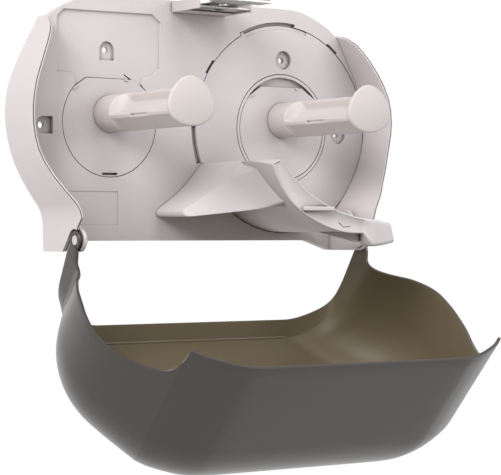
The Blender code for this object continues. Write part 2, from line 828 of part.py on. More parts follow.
def make_back_plate():
    outline = tray_outline()
    plate = prism("back_plate", outline, 0, FACE_DEPTH)
    carve(plate, *rear_pockets())
    inside = prism("inside", shrunk(outline, EDGE_WALL / 2), -OVERRUN, FACE_DEPTH - SHEET / 2)
    pads = rear_pads()
    first = pads[0]
    add(first, *pads[1:])
    keep_common(first, inside)
    combine(plate, [first], "UNION", "MANIFOLD")

    for side_sign in (-1, 1):
        wall = cut(wing(side_sign), arm_sweep(side_sign))
        combine(plate, [wall, hinge_ear(side_sign), ear_web(side_sign)], "UNION", "MANIFOLD")
    top = FACE_DEPTH + OVERRUN
    carve(plate, ring_seat(FACE_DEPTH + SEAT_GAP))
    carve(plate, disc("seat", RING_CENTRE, HUB_SEAT_R, RECESS_DEPTH, top, 60))
    seat = hub_outline(LEFT_CENTRE, HUB_SEAT_R, HUB_CHORD + SLIDE_GAP)
    carve(plate, prism("seat", seat, RECESS_DEPTH, top))

    panel = prism(
        "panel", [(x * HALF_WIDTH, z * COVER_TOP) for x, z in PANEL_SHARES], FACE_DEPTH - PANEL_STEP, top
    )
    carve(plate, panel)
    half = LABEL_WIDTH / 2
    carve(
        plate,
        block(
            "label",
            LABEL_X - half,
            LABEL_X + half,
            FACE_DEPTH - LABEL_STEP,
            top,
            LABEL_Z - LABEL_HEIGHT / 2,
            LABEL_Z + LABEL_HEIGHT / 2,
        ),
    )
    for x, z in screw_places():
        if x < 0:
            carve(plate, keyhole_pocket((x, z), z < SCREW_HEIGHT / 2))
        carve(plate, disc("hole", (x, z), SCREW_HOLE_R, -OVERRUN, top, 12))
    for side_sign in (-1, 1):
        access = (side_sign * ROLL_SPACING / 2, PEG_RISE)
        carve(plate, disc("access", access, ACCESS_R, -OVERRUN, top, 20))
    for side_sign in (-1, 1):
        x = side_sign * LATCH_SCREW_X
        carve(plate, disc("pilot", (x, LATCH_SCREW_HEIGHT), LATCH_SCREW_R + SEAT_GAP, -OVERRUN, top, 12))
    return tidy(plate)


# Hubs and pegs.
def make_hub(name, centre):
    near = RECESS_DEPTH + SEAT_GAP
    hub = prism(name, hub_outline(centre, HUB_R, HUB_CHORD), near, near + HUB_THICK)
    peg_hole = disc(
        "hole", (centre[0], centre[1] + PEG_RISE), PEG_SPIGOT_R + SEAT_GAP, 0, FACE_DEPTH + OVERRUN, 24
    )
    z = centre[1] - HUB_R + HUB_SLOT_IN
    slot = block(
        "slot",
        centre[0] - HUB_SLOT_LENGTH / 2,
        centre[0] + HUB_SLOT_LENGTH / 2,
        0,
        FACE_DEPTH + OVERRUN,
        z,
        z + HUB_SLOT_WIDTH,
    )
    cut(hub, peg_hole, slot)
    return tidy(hub)


def cap_point(degrees, grow):
    """A point of the egg-shaped cap about the peg's axis."""
    angle = math.radians(degrees)
    up = math.sin(angle) > 0
    power = 2 / 1.75 if up else 1.0
    height = (PEG_CAP_UP if up else PEG_CAP_DOWN) + grow
    across = math.copysign(abs(math.cos(angle)) ** power, math.cos(angle))
    rise = math.copysign(abs(math.sin(angle)) ** power, math.sin(angle))
    return ((PEG_CAP_WIDTH / 2 + grow) * across, height * rise)


def peg_radius(degrees, depth):
    """The peg's radius: round at the collar, then four ribs with a scoop between each two."""
    ribs = (-16.0, 90.0, 196.0, 270.0, 344.0)
    for low, high in zip(ribs, ribs[1:]):
        if low <= degrees <= high:
            break
    share = (degrees - low) / (high - low)
    upper = low < 190.0 and high > -10.0 and not low >= 196.0
    core = PEG_CORE_R if upper else PEG_LOWER_CORE_R
    away = abs(share - 0.5) * 2
    side_share = share if high == 90.0 else 1.0 - share
    delay = PEG_SCOOP_RUN * (1.0 - math.sqrt(max(0.0, 1.0 - side_share**2))) if upper else 0.0
    start = PEG_SCOOP_START + delay
    grown = ease((depth - start) / (PEG_SCOOP_RUN / 2))
    end = PEG_FRONT - PEG_CAP_THICK
    grown *= ease((end - depth) / (PEG_SCOOP_RUN / 3))
    hollow = (1.0 - away**5) * (PEG_R - core)
    radius = PEG_R - hollow * grown
    if degrees in (196.0, 344.0, -16.0):
        middle = mix(PEG_SCOOP_START, end, 0.36)
        reach = PEG_SCOOP_RUN / 2
        radius -= PEG_NOTCH * grown_notch(depth, middle, reach)
    return radius


def grown_notch(depth, middle, reach):
    return ease((depth - middle + reach) / (reach / 3)) * ease((middle + reach - depth) / (reach / 2))


def make_peg(name, centre):
    axis = (centre[0], centre[1] + PEG_RISE)
    near = FACE_DEPTH + SEAT_GAP
    cap_back = PEG_FRONT - PEG_CAP_THICK
    angles = (
        [-16, -12, -3, 12, 37, 62, 77, 86, 90]
        + [94, 103, 118, 143, 168, 183, 192]
        + [196, 200, 210, 233, 256, 266]
        + [270, 274, 284, 307, 330, 340]
    )
    marks = [near, PEG_SCOOP_START]
    steps = 6
    marks += [PEG_SCOOP_START + PEG_SCOOP_RUN * 1.5 * (i + 1) / steps for i in range(steps)]
    marks += [mix(marks[-1], cap_back, share) for share in (0.10, 0.24, 0.34, 0.50, 0.90, 0.96, 1.0)]
    rows = []
    for depth in marks:
        row = []
        for degrees in angles:
            x, z = polar(axis, peg_radius(float(degrees), depth), degrees)
            row.append(place(x, depth, z))
        rows.append(row)
    peg = loft(name, rows, True)

    cap_angles = [360.0 * i / 36 for i in range(36)]
    edge = PEG_CAP_THICK / 3
    cap_rows = []
    for depth, grow in (
        (cap_back - OVERRUN / 2, -edge / 2),
        (cap_back + edge / 2, 0.0),
        (PEG_FRONT - edge, 0.0),
        (PEG_FRONT - edge / 3, -edge / 3),
        (PEG_FRONT, -edge),
    ):
        points = [cap_point(a, grow) for a in cap_angles]
        cap_rows.append([place(axis[0] + x, depth, axis[1] + z) for x, z in points])
    add(peg, loft("cap", cap_rows, True))
    add(peg, disc("spigot", axis, PEG_SPIGOT_R, RECESS_DEPTH + SEAT_GAP, near + OVERRUN, 24))
    cut(peg, disc("bore", axis, PEG_BORE_R, 0, RECESS_DEPTH + PEG_BORE_LENGTH, 12))
    return tidy(peg)


def screw(name, centre, head_depth, head_r, head, shank_r, length, socket_r, socket):
    """A pan head screw whose shank runs out from the wall."""
    body = disc(name, centre, head_r, head_depth, head_depth + head, 24)
    add(body, disc("shank", centre, shank_r, head_depth + head / 2, head_depth + head + length, 16))
    cut(body, disc("socket", centre, socket_r, head_depth - OVERRUN, head_depth + socket, 6))
    return body


def make_peg_screw(name, centre):
    return tidy(
        screw(
            name,
            (centre[0], centre[1] + PEG_RISE),
            RECESS_DEPTH - PEG_SCREW_HEAD,
            PEG_SCREW_HEAD_R,
            PEG_SCREW_HEAD,
            PEG_SCREW_R,
            PEG_SCREW_LENGTH,
            PEG_SCREW_SOCKET_R,
            PEG_SCREW_SOCKET,
        )
    )


# Shutter.
def make_shutter_ring():
    near = RECESS_DEPTH + SEAT_GAP
    far = near + RING_THICK
    ring = annulus("shutter_ring", RING_CENTRE, RING_BORE_R, RING_R, near, far)
    inner = RING_R - STOP_ARC_LIP
    edge = far - RING_THICK / 3
    band = sector(
        "band",
        RING_CENTRE,
        inner,
        RING_R + OVERRUN,
        STOP_START_ANGLE - STOP_LUG_ANGLE,
        STOP_END_ANGLE - SHUTTER_TURN / 4,
        edge,
        far + OVERRUN,
        16,
    )
    cut(ring, band)
    lug_start = STOP_START_ANGLE - math.degrees(SLIDE_GAP / STOP_ARC_R)
    stop = sector(
        "stop",
        RING_CENTRE,
        inner,
        RING_R + STOP_LUG_OUT,
        lug_start,
        lug_start - STOP_LUG_ANGLE + 1,
        near,
        far,
        2,
    )
    add(ring, stop)
    for angle in NOTCH_ANGLES:
        middle = angle - LUG_REST_TURN
        lug = sector(
            "lug",
            RING_CENTRE,
            RING_R - OVERRUN,
            RING_R + LUG_OUT,
            middle + LUG_HALF_ANGLE,
            middle - LUG_HALF_ANGLE,
            near,
            near + LUG_THICK,
            3,
        )
        add(ring, lug)
    for x, z in screw_places():
        if x > 0:
            cut(ring, disc("eye", (x, z), RING_EYE_R, 0, far + OVERRUN, 28))
    middle = RING_R - PADDLE_WALL / 2
    for angle in TAB_SLOT_ANGLES:
        slot = sector(
            "slot",
            RING_CENTRE,
            middle - TAB_SLOT_WALL / 2 - SEAT_GAP,
            middle + TAB_SLOT_WALL / 2 - SEAT_GAP,
            angle + TAB_HALF_ANGLE,
            angle - TAB_HALF_ANGLE,
            0,
            far + OVERRUN,
            3,
        )
        cut(ring, slot)
    return tidy(ring)


def wing_point(index, depth):
    """A point of the paddle's outer side where the wing is, which runs in to the cradle at the front."""
    low = LOWER_SIDE_SHARES[index]
    whole, front = WING_SHARES[index], WING_FRONT_SHARES[index]
    share = min(1.0, max(0.0, (depth - WING_TIP_DEPTH) / (WING_CREASE_DEPTH - WING_TIP_DEPTH)))
    drawn = mix(share**2, share, low)
    end = mix(WING_UPPER_END, WING_LOWER_END, low)
    share = min(1.0, max(0.0, (depth - WING_CREASE_DEPTH) / (end - WING_CREASE_DEPTH)))
    sunk = mix(1.0 - (1.0 - share) ** 2, ease(share), low)
    plain = cradle_point(WING_ANGLES[index], depth)
    point = []
    for axis in range(2):
        at = RING_CENTRE[axis] + RING_R * mix(whole[axis], front[axis], drawn)
        point.append(mix(at, plain[axis], sunk))
    return tuple(point)


def cradle_point(degrees, depth):
    """A point of the cradle's outer side, which flares out to the front flange."""
    flared = max(0.0, (depth - KEEL_BACK) / (PADDLE_FRONT - KEEL_BACK)) ** 2
    return polar(RING_CENTRE, RING_R * (1.0 + smooth_value(FLARE_SHARES, degrees) * flared), degrees)


def paddle_row(depth):
    """The paddle's section at one depth: its outer side, then its inner side back again."""
    outer_side = [wing_point(index, depth) for index in range(len(WING_SHARES))]
    outer_side += [cradle_point(degrees, depth) for degrees in CRADLE_ANGLES]
    angles = WING_ANGLES + CRADLE_ANGLES
    inner_side = [polar(RING_CENTRE, RING_R - PADDLE_WALL, degrees) for degrees in reversed(angles)]
    return [place(x, depth, z) for x, z in outer_side + inner_side]


def make_shutter_paddle():
    near = FACE_DEPTH + SEAT_GAP
    rows = [paddle_row(depth) for depth in [near] + [share * PADDLE_FRONT for share in PADDLE_DEPTH_SHARES]]
    paddle = loft("shutter_paddle", rows, True)

    outer = [polar(RING_CENTRE, outer_r * RING_R, a) for a, _, outer_r in FLANGE_SHARES]
    inner = [polar(RING_CENTRE, inner_r * RING_R, a) for a, inner_r, _ in FLANGE_SHARES]
    steps = 4
    flange_outline = smooth_path(outer, steps) + list(reversed(smooth_path(inner, steps)))
    flange = prism("flange", flange_outline, PADDLE_FRONT - FLANGE_WALL, PADDLE_FRONT)
    thumb = block("thumb", THUMB_LEFT, THUMB_RIGHT, THUMB_BACK, THUMB_FRONT, -THUMB_BOTTOM, -THUMB_TOP)
    bevel = thumb.modifiers.new("edges", "BEVEL")
    bevel.width = FLANGE_WALL
    bevel.segments = 3
    settle(thumb)
    bottom = -RING_R + PADDLE_WALL / 2
    keel = side_prism(
        "keel",
        [
            (KEEL_BACK, bottom),
            (KEEL_BACK + KEEL_DROP * 2, bottom - KEEL_DROP),
            (THUMB_BACK + FLANGE_WALL, -THUMB_BOTTOM + FLANGE_WALL),
            (THUMB_BACK + FLANGE_WALL, bottom),
        ],
        RING_CENTRE[0] - KEEL_HALF,
        RING_CENTRE[0] + KEEL_HALF + FLANGE_WALL,
    )
    ledge = block(
        "ledge",
        LEDGE_LEFT,
        LEDGE_RIGHT,
        PADDLE_FRONT - FLANGE_WALL / 2,
        PADDLE_FRONT + LEDGE_OUT,
        -LEDGE_DROP - LEDGE_TALL,
        -LEDGE_DROP,
    )
    add(paddle, flange, keel, thumb, ledge)
    middle = RING_R - PADDLE_WALL / 2
    for angle in TAB_SLOT_ANGLES:
        half = TAB_HALF_ANGLE * (1 - SEAT_GAP / TAB_SLOT_WALL)
        tab = sector(
            "tab",
            RING_CENTRE,
            middle - TAB_SLOT_WALL / 2,
            middle + TAB_SLOT_WALL / 2 - 2 * SEAT_GAP,
            angle + half,
            angle - half,
            RECESS_DEPTH + SEAT_GAP,
            near + OVERRUN,
            3,
        )
        add(paddle, tab)
    cut(paddle, wing_hollow())
    return tidy(paddle)


def wing_hollow():
    """The hollow that a moulded wing has at its back."""
    outer = [
        (RING_CENTRE[0] + RING_R * x, RING_CENTRE[1] + RING_R * z)
        for x, z in WING_SHARES[HOLLOW_FIRST_INDEX:HOLLOW_LAST_INDEX]
    ]
    del outer[WING_TIP_INDEX - HOLLOW_FIRST_INDEX]
    inner = [polar(RING_CENTRE, RING_R, degrees) for degrees in HOLLOW_ANGLES]
    return prism("hollow", shrunk(outer + inner, PADDLE_WALL), 0, WING_HOLLOW)


# Cover.
def cover_front(z):
    """How deep the shut cover's front face is at one height."""
    crease = strip_depth(-CREASE_DROP)
    share = min(1.0, (z + CREASE_DROP) / COVER_BULGE_SPAN)
    bulge = COVER_DEPTH - crease
    return crease + bulge * (1.0 - (1.0 - share) ** 2)


def cover_rim(z, index, corner):
    """How deep the shut cover's rim is: on the wall at the top, along the wings at the sides."""
    if index > corner:
        return WALL_CLEAR
    return clear_edge(z)


def cover_rows():
    """The shut cover's outer face as rows of points, from its rim to the middle of its front."""
    steps = 2
    right = smooth_path(outline_points(), steps)[CREASE_INDEX * steps :]
    corner = (CORNER_INDEX - CREASE_INDEX) * steps
    rims = [cover_rim(z, i, corner) for i, (_, z) in enumerate(right)]
    outline = right + [(-x, z) for x, z in reversed(right[:-1])]
    rims = rims + list(reversed(rims[:-1]))
    tall = COVER_TOP + CREASE_DROP
    straight = COVER_DEPTH - COVER_ROUND
    rows = []

    def row(shrink, depths):
        made = []
        for (x, z), depth in zip(outline, depths):
            made.append((x * (1 - shrink), depth, -CREASE_DROP + (z + CREASE_DROP) * (1 - shrink)))
        rows.append(made)

    for i in range(RIM_STEPS + 1):
        share = i / RIM_STEPS
        depths = [mix(rim, straight, share) for rim in rims]
        row(COVER_DRAFT / tall * share, depths)
    for i in range(1, ROUND_STEPS + 1):
        angle = math.pi / 2 * i / ROUND_STEPS
        inward = COVER_DRAFT + COVER_ROUND * (1 - math.cos(angle))
        shrink = inward / tall
        depths = []
        for _, z in outline:
            front = cover_front(-CREASE_DROP + (z + CREASE_DROP) * (1 - shrink))
            depths.append(straight + (front - straight) * math.sin(angle))
        row(shrink, depths)
    last = (COVER_DRAFT + COVER_ROUND) / tall
    for share in FRONT_SHARES:
        shrink = mix(last, 1.0, share)
        row(shrink, [cover_front(-CREASE_DROP + (z + CREASE_DROP) * (1 - shrink)) for _, z in outline])
    return rows


def skirt_point(x, depth, share, rim_row):
    """A point below the crease: the strip at the front and the side walls' lower part."""
    front = cover_front(-CREASE_DROP)
    forward = ease((depth - STRIP_START) / (front - STRIP_START))
    side_bottom = -SKIRT_DROP + max(0.0, depth - HINGE_DEPTH) / (front - HINGE_DEPTH) * SKIRT_RISE
    side = (depth, mix(-CREASE_DROP, side_bottom, share))
    strip_z = mix(-CREASE_DROP, -STRIP_DROP, share)
    strip = (depth - (front - strip_depth(strip_z)), strip_z)
    if rim_row:
        height = side[1]
        edge = clear_edge(height)
        head_line = HINGE_DEPTH + HEAD_R / 3
        side = (max(edge, mix(edge, head_line, ease(share))) if share > 0 else depth, height)
    x -= math.copysign(ARM_IN * share * (1.0 - forward), x)
    return place(x, mix(side[0], strip[0], forward), mix(side[1], strip[1], forward))


def make_cover():
    rows = cover_rows()
    bm = bmesh.new()
    grid = [[bm.verts.new(place(*point)) for point in row] for row in rows]
    for one, two in zip(grid, grid[1:]):
        for i in range(len(one) - 1):
            bm.faces.new((one[i], one[i + 1], two[i + 1], two[i]))
    for end in (0, -1):
        columns = []
        for index, row in enumerate(rows):
            x, depth, _ = row[end]
            column = [grid[index][end]]
            for step in range(1, SKIRT_STEPS + 1):
                point = skirt_point(x, depth, step / SKIRT_STEPS, index == 0)
                column.append(bm.verts.new(point))
            columns.append(column)
        for one, two in zip(columns, columns[1:]):
            for i in range(SKIRT_STEPS):
                bm.faces.new((one[i], one[i + 1], two[i + 1], two[i]))
    bmesh.ops.remove_doubles(bm, verts=bm.verts, dist=WELD)
    bmesh.ops.dissolve_degenerate(bm, edges=bm.edges, dist=WELD)
    bmesh.ops.recalc_face_normals(bm, faces=bm.faces)
    forward = sum(face.normal.y * face.calc_area() for face in bm.faces)
    if forward > 0:
        bmesh.ops.reverse_faces(bm, faces=bm.faces)
    cover = new_object("cover", bm)
    shell = cover.modifiers.new("wall", "SOLIDIFY")
    shell.thickness = COVER_WALL
    shell.offset = -1
    shell.use_even_offset = True
    shell.use_rim = True
    settle(cover)
    for side in (-1, 1):
        outer = side * HINGE_X
        inner = side * (HINGE_X - HEAD_WALL)
        add(cover, side_disc("head", HINGE_POINT, HEAD_R, inner, outer))
        near, far = side * (HINGE_X - EAR_R), side * (HINGE_X + EAR_R)
        cut(cover, side_disc("hole", HINGE_POINT, PIN_R + PIN_GAP, near, far))
    for side in (-1, 1):
        add(cover, catch_boss(side))
    for side in (-1, 1):
        centre = (side * CATCH_BOSS_X, CATCH_BACK - CATCH_FOOT / 2)
        pilot_top = cover_inside() + COVER_WALL / 2
        radius = CATCH_SCREW_R + SEAT_GAP
        cut(cover, upright_disc("pilot", centre, radius, catch_top() - OVERRUN, pilot_top, 12))
    tidy(cover)
    return cover


def cover_inside():
    """The height of the shut cover's inner face above the catch."""
    share = CATCH_BACK / (COVER_DEPTH - COVER_ROUND)
    return COVER_TOP - COVER_WALL - COVER_DRAFT * share


def catch_top():
    return cover_inside() - CATCH_STAND


def upright_disc(name, centre, radius, bottom, top, segments=20):
    """A disc about an upright line, given by X and depth."""
    bm = bmesh.new()
    low = [bm.verts.new(place(x, depth, bottom)) for x, depth in circle(centre, radius, segments)]
    high = [bm.verts.new(place(x, depth, top)) for x, depth in circle(centre, radius, segments)]
    bm.faces.new(low)
    bm.faces.new(high)
    for i in range(segments):
        j = (i + 1) % segments
        bm.faces.new((low[i], low[j], high[j], high[i]))
    return closed_object(name, bm)


def catch_boss(side):
    centre = (side * CATCH_BOSS_X, CATCH_BACK - CATCH_FOOT / 2)
    return upright_disc("boss", centre, CATCH_BOSS_R, catch_top(), cover_inside() + COVER_WALL / 2)


def make_cover_catch():
    """The steel angle on the cover's inside that the bolt hooks behind."""
    top = catch_top() - SEAT_GAP
    foot = block(
        "cover_catch",
        -CATCH_HALF,
        CATCH_HALF,
        CATCH_BACK - CATCH_FOOT,
        CATCH_BACK + CATCH_WALL,
        top - CATCH_FOOT_SHEET,
        top,
    )
    hang = block(
        "hang",
        -CATCH_HALF,
        CATCH_HALF,
        CATCH_BACK,
        CATCH_BACK + CATCH_WALL,
        top - CATCH_HANG,
        top - CATCH_FOOT_SHEET / 2,
    )
    add(foot, hang)
    for side in (-1, 1):
        centre = (side * CATCH_BOSS_X, CATCH_BACK - CATCH_FOOT / 2)
        radius = CATCH_SCREW_R + SEAT_GAP
        cut(foot, upright_disc("hole", centre, radius, top - CATCH_HANG, top + OVERRUN, 12))
    return tidy(foot)


def make_catch_screw(name, side):
    under = catch_top() - SEAT_GAP - CATCH_FOOT_SHEET - SEAT_GAP
    centre = (side * CATCH_BOSS_X, CATCH_BACK - CATCH_FOOT / 2)
    body = upright_disc(name, centre, CATCH_SCREW_HEAD_R, under - CATCH_SCREW_HEAD, under)
    middle = under - CATCH_SCREW_HEAD / 2
    shank = upright_disc("shank", centre, CATCH_SCREW_R, middle, under + CATCH_SCREW_LENGTH, 12)
    return tidy(add(body, shank))


def make_hinge_pin(name, side):
    """A plug that snaps through the plate's ear and the cover's arm."""
    ear_outer = HINGE_X - HEAD_WALL - PIN_GAP - SLIDE_GAP
    ear_inner = ear_outer - EAR_WALL
    pin = side_disc(name, HINGE_POINT, PIN_R, side * (ear_inner - PIN_FLANGE), side * HINGE_X)
    flange_outer = ear_inner - SEAT_GAP
    flange_inner = flange_outer - PIN_FLANGE
    flange = side_disc("flange", HINGE_POINT, PIN_FLANGE_R, side * flange_inner, side * flange_outer)
    add(pin, flange)
    return tidy(pin)


# Latch.
def make_latch_housing():
    near = FACE_DEPTH + SEAT_GAP
    half = LATCH_HALF
    bottom = LATCH_BOTTOM
    low, high = bottom + LATCH_WALL / 4, LATCH_TOP - LATCH_WALL / 4
    housing = block("latch_housing", -half, half, near, near + LATCH_WEB, low, high)
    for side in (-1, 1):
        wall = block(
            "wall",
            side * half,
            side * (half - LATCH_WALL),
            near,
            LATCH_FRONT,
            bottom,
            LATCH_TOP,
        )
        add(housing, wall)
    reach = half - LATCH_WALL / 2
    shelf = block("shelf", -reach, reach, near, FRAME_BACK * 2, bottom, bottom + LATCH_WALL / 2)
    add(housing, shelf)
    for side in (-1, 1):
        centre = (side * LATCH_SCREW_X, LATCH_SCREW_HEIGHT)
        cut(housing, disc("hole", centre, LATCH_SCREW_R + SEAT_GAP, 0, near + LATCH_WEB + OVERRUN, 16))
    return tidy(housing)


def frame_half():
    return LATCH_HALF - LATCH_WALL - FRAME_GAP


def make_latch_frame():
    """The stamped channel that carries the bolt's pivot."""
    half = frame_half()
    floor = LATCH_BOTTOM + LATCH_WALL / 2 + SEAT_GAP
    frame = block("latch_frame", -half, half, FRAME_BACK, FRAME_FRONT, floor, floor + FRAME_SHEET)
    for side in (-1, 1):
        ear = block(
            "ear",
            side * half,
            side * (half - FRAME_SHEET),
            FRAME_BACK,
            PIVOT_DEPTH + FRAME_EAR,
            floor + FRAME_SHEET / 2,
            LATCH_TOP - SEAT_GAP,
        )
        add(frame, ear)
        near, far = side * (half - FRAME_EAR / 2), side * (half + OVERRUN)
        cut(frame, side_disc("hole", PIVOT_POINT, PIVOT_PIN_R + SEAT_GAP, near, far, 16))
    back, front = PIVOT_DEPTH + FRAME_EAR, FRAME_FRONT - FRAME_EAR
    cut(frame, block("window", -BOLT_HOLE_HALF, BOLT_HOLE_HALF, back, front, 0, LATCH_TOP))
    return tidy(frame)


def bolt_height():
    return PIVOT_HEIGHT - BOLT_DROP


def make_latch_bolt():
    """The sprung tongue: a T-shaped plate with a barrel at its pivot and a barb at its tip."""
    bottom = bolt_height()
    top = bottom + BOLT_SHEET
    bolt = block("latch_bolt", -BOLT_HALF, BOLT_HALF, BOLT_BACK, BOLT_FRONT, bottom, top)
    head = block("head", -BOLT_HEAD_HALF, BOLT_HEAD_HALF, BOLT_HEAD_BACK, BOLT_FRONT, bottom, top)
    barb_back = CATCH_BACK + CATCH_WALL + SLIDE_GAP * 2
    barb = side_prism(
        "barb",
        [
            (barb_back, bottom + BOLT_SHEET / 2),
            (BOLT_FRONT, bottom + BOLT_SHEET / 2),
            (BOLT_FRONT, top + BOLT_SHEET / 3),
            (barb_back + BOLT_SHEET, top + BOLT_BARB),
            (barb_back, top + BOLT_BARB),
        ],
        -BOLT_HEAD_HALF + BOLT_SHEET,
        BOLT_HEAD_HALF - BOLT_SHEET,
    )
    add(bolt, head, barb)
    gap_half = SPRING_WIRE * SPRING_TURNS
    for side in (-1, 1):
        inner = side * (gap_half + SLIDE_GAP)
        add(bolt, side_disc("barrel", PIVOT_POINT, BOLT_BARREL_R, inner, side * BOLT_HALF, 20))
    window_at = (0.0, mix(PIVOT_DEPTH, BOLT_HEAD_BACK, 0.62))
    reach = BOLT_HALF + OVERRUN
    cut(
        bolt,
        block(
            "spring_gap",
            -gap_half,
            gap_half,
            BOLT_BACK - OVERRUN,
            PIVOT_DEPTH + BOLT_BARREL_R + SLIDE_GAP * 2,
            bottom - OVERRUN,
            top + OVERRUN,
        ),
        side_disc("bore", PIVOT_POINT, PIVOT_PIN_R + SEAT_GAP, -reach, reach, 16),
        upright_disc("window", window_at, BOLT_HOLE_HALF, bottom - OVERRUN, top + OVERRUN, 24),
    )
    return tidy(bolt)


def make_latch_pin():
    reach = frame_half() - SEAT_GAP / 3
    half = reach + FRAME_GAP / 2
    return side_disc("latch_pin", PIVOT_POINT, PIVOT_PIN_R, -half, half, 16)


def make_latch_spring():
    """A torsion spring round the pivot: a helix with a leg under the bolt and one on the frame."""
    pitch = SPRING_WIRE * 1.25
    per_turn = 10
    width = pitch * SPRING_TURNS
    radius = SPRING_R - SPRING_WIRE / 2
    points = []
    leg_height = PIVOT_HEIGHT - radius
    points.append((-width / 2, PIVOT_DEPTH + SPRING_LEG, leg_height))
    for i in range(SPRING_TURNS * per_turn + 1):
        angle = -90.0 + 360.0 * i / per_turn
        depth, z = polar(PIVOT_POINT, radius, angle)
        points.append((mix(-width / 2, width / 2, i / (SPRING_TURNS * per_turn)), depth, z))
    points.append((width / 2, PIVOT_DEPTH - SPRING_LEG / 2, leg_height))
    return tube("latch_spring", points, SPRING_WIRE / 2)


def tube(name, points, radius):
    curve = bpy.data.curves.new(name, "CURVE")
    curve.dimensions = "3D"
    curve.bevel_depth = radius
    curve.bevel_resolution = 1
    curve.use_fill_caps = True
    spline = curve.splines.new("POLY")
    spline.points.add(len(points) - 1)
    for point, (x, depth, z) in zip(spline.points, points):
        point.co = (*place(x, depth, z), 1.0)
    obj = bpy.data.objects.new(name, curve)
    bpy.context.scene.collection.objects.link(obj)
    return obj


def make_latch_screw(name, side):
    face = FACE_DEPTH + SEAT_GAP + LATCH_WEB + SEAT_GAP
    centre = (side * LATCH_SCREW_X, LATCH_SCREW_HEIGHT)
    middle = face + LATCH_SCREW_HEAD / 2
    body = disc(name, centre, LATCH_SCREW_HEAD_R, face, face + LATCH_SCREW_HEAD, 24)
    add(body, disc("shank", centre, LATCH_SCREW_R, face - LATCH_SCREW_LENGTH, middle, 16))
    cut(body, disc("socket", centre, LATCH_SCREW_R, middle, face + LATCH_SCREW_HEAD + OVERRUN, 6))
    return tidy(body)


# The whole dispenser.
def main():
    remove_everything()
    plate_plastic = plastic("warm_white_plastic", WARM_WHITE, 0.45)
    peg_plastic = plastic("peg_plastic", WARM_WHITE, 0.40)
    shutter_plastic = plastic("shutter_plastic", COOL_WHITE, 0.42)
    smoke = plastic("smoked_plastic", SMOKE, 0.22, alpha=0.85)
    steel = plastic("bright_steel", STEEL, 0.28, metallic=1.0)
    dark_steel = plastic("plated_steel", STEEL, 0.40, metallic=1.0)

    finish(make_back_plate(), plate_plastic)
    finish(make_hub("left_hub", LEFT_CENTRE), plate_plastic)
    finish(make_hub("right_hub", RING_CENTRE), plate_plastic)
    finish(make_peg("left_peg", LEFT_CENTRE), peg_plastic)
    finish(make_peg("right_peg", RING_CENTRE), peg_plastic)
    finish(make_peg_screw("left_peg_screw", LEFT_CENTRE), dark_steel)
    finish(make_peg_screw("right_peg_screw", RING_CENTRE), dark_steel)

    axis_point = place(RING_CENTRE[0], FACE_DEPTH, RING_CENTRE[1])
    set_origin(finish(make_shutter_ring(), shutter_plastic), axis_point)
    set_origin(finish(make_shutter_paddle(), shutter_plastic), axis_point)

    hinge_axis = bpy.data.objects.new("cover_axis", None)
    bpy.context.scene.collection.objects.link(hinge_axis)
    hinge_axis.location = place(0.0, HINGE_DEPTH, -HINGE_DROP)
    moving = [
        finish(make_cover(), smoke),
        finish(make_cover_catch(), steel),
        finish(make_catch_screw("left_catch_screw", -1), dark_steel),
        finish(make_catch_screw("right_catch_screw", 1), dark_steel),
    ]
    for obj in moving:
        set_origin(obj, hinge_axis.location.copy())
        obj.location = (0.0, 0.0, 0.0)
        obj.parent = hinge_axis
    hinge_axis.rotation_euler = (math.radians(OPEN_ANGLE), 0.0, 0.0)
    finish(make_hinge_pin("left_hinge_pin", -1), peg_plastic)
    finish(make_hinge_pin("right_hinge_pin", 1), peg_plastic)

    finish(make_latch_housing(), plate_plastic)
    finish(make_latch_frame(), steel)
    pivot = place(0.0, PIVOT_DEPTH, PIVOT_HEIGHT)
    set_origin(finish(make_latch_bolt(), steel), pivot)
    finish(make_latch_pin(), dark_steel)
    make_latch_spring().data.materials.append(dark_steel)
    finish(make_latch_screw("left_latch_screw", -1), dark_steel)
    finish(make_latch_screw("right_latch_screw", 1), dark_steel)


main()
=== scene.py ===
# %% [markdown]
# # A double roll toilet paper dispenser, open on its wall
#
# The dispenser is a shallow moulded plate with two side wings. Two pegs carry the rolls, a shutter
# turns about the right peg and closes off one roll or the other, and a smoked cover hangs open from
# two pins at the bottom. The engineering model is loaded first, as a fixed frame. Everything here is
# drawn over it, in metres: X to the right, Y into the wall, Z up, with the wall at Y = 0.

# %% Load the frame
import json
import math

import bmesh
import bpy
from mathutils import Matrix, Vector


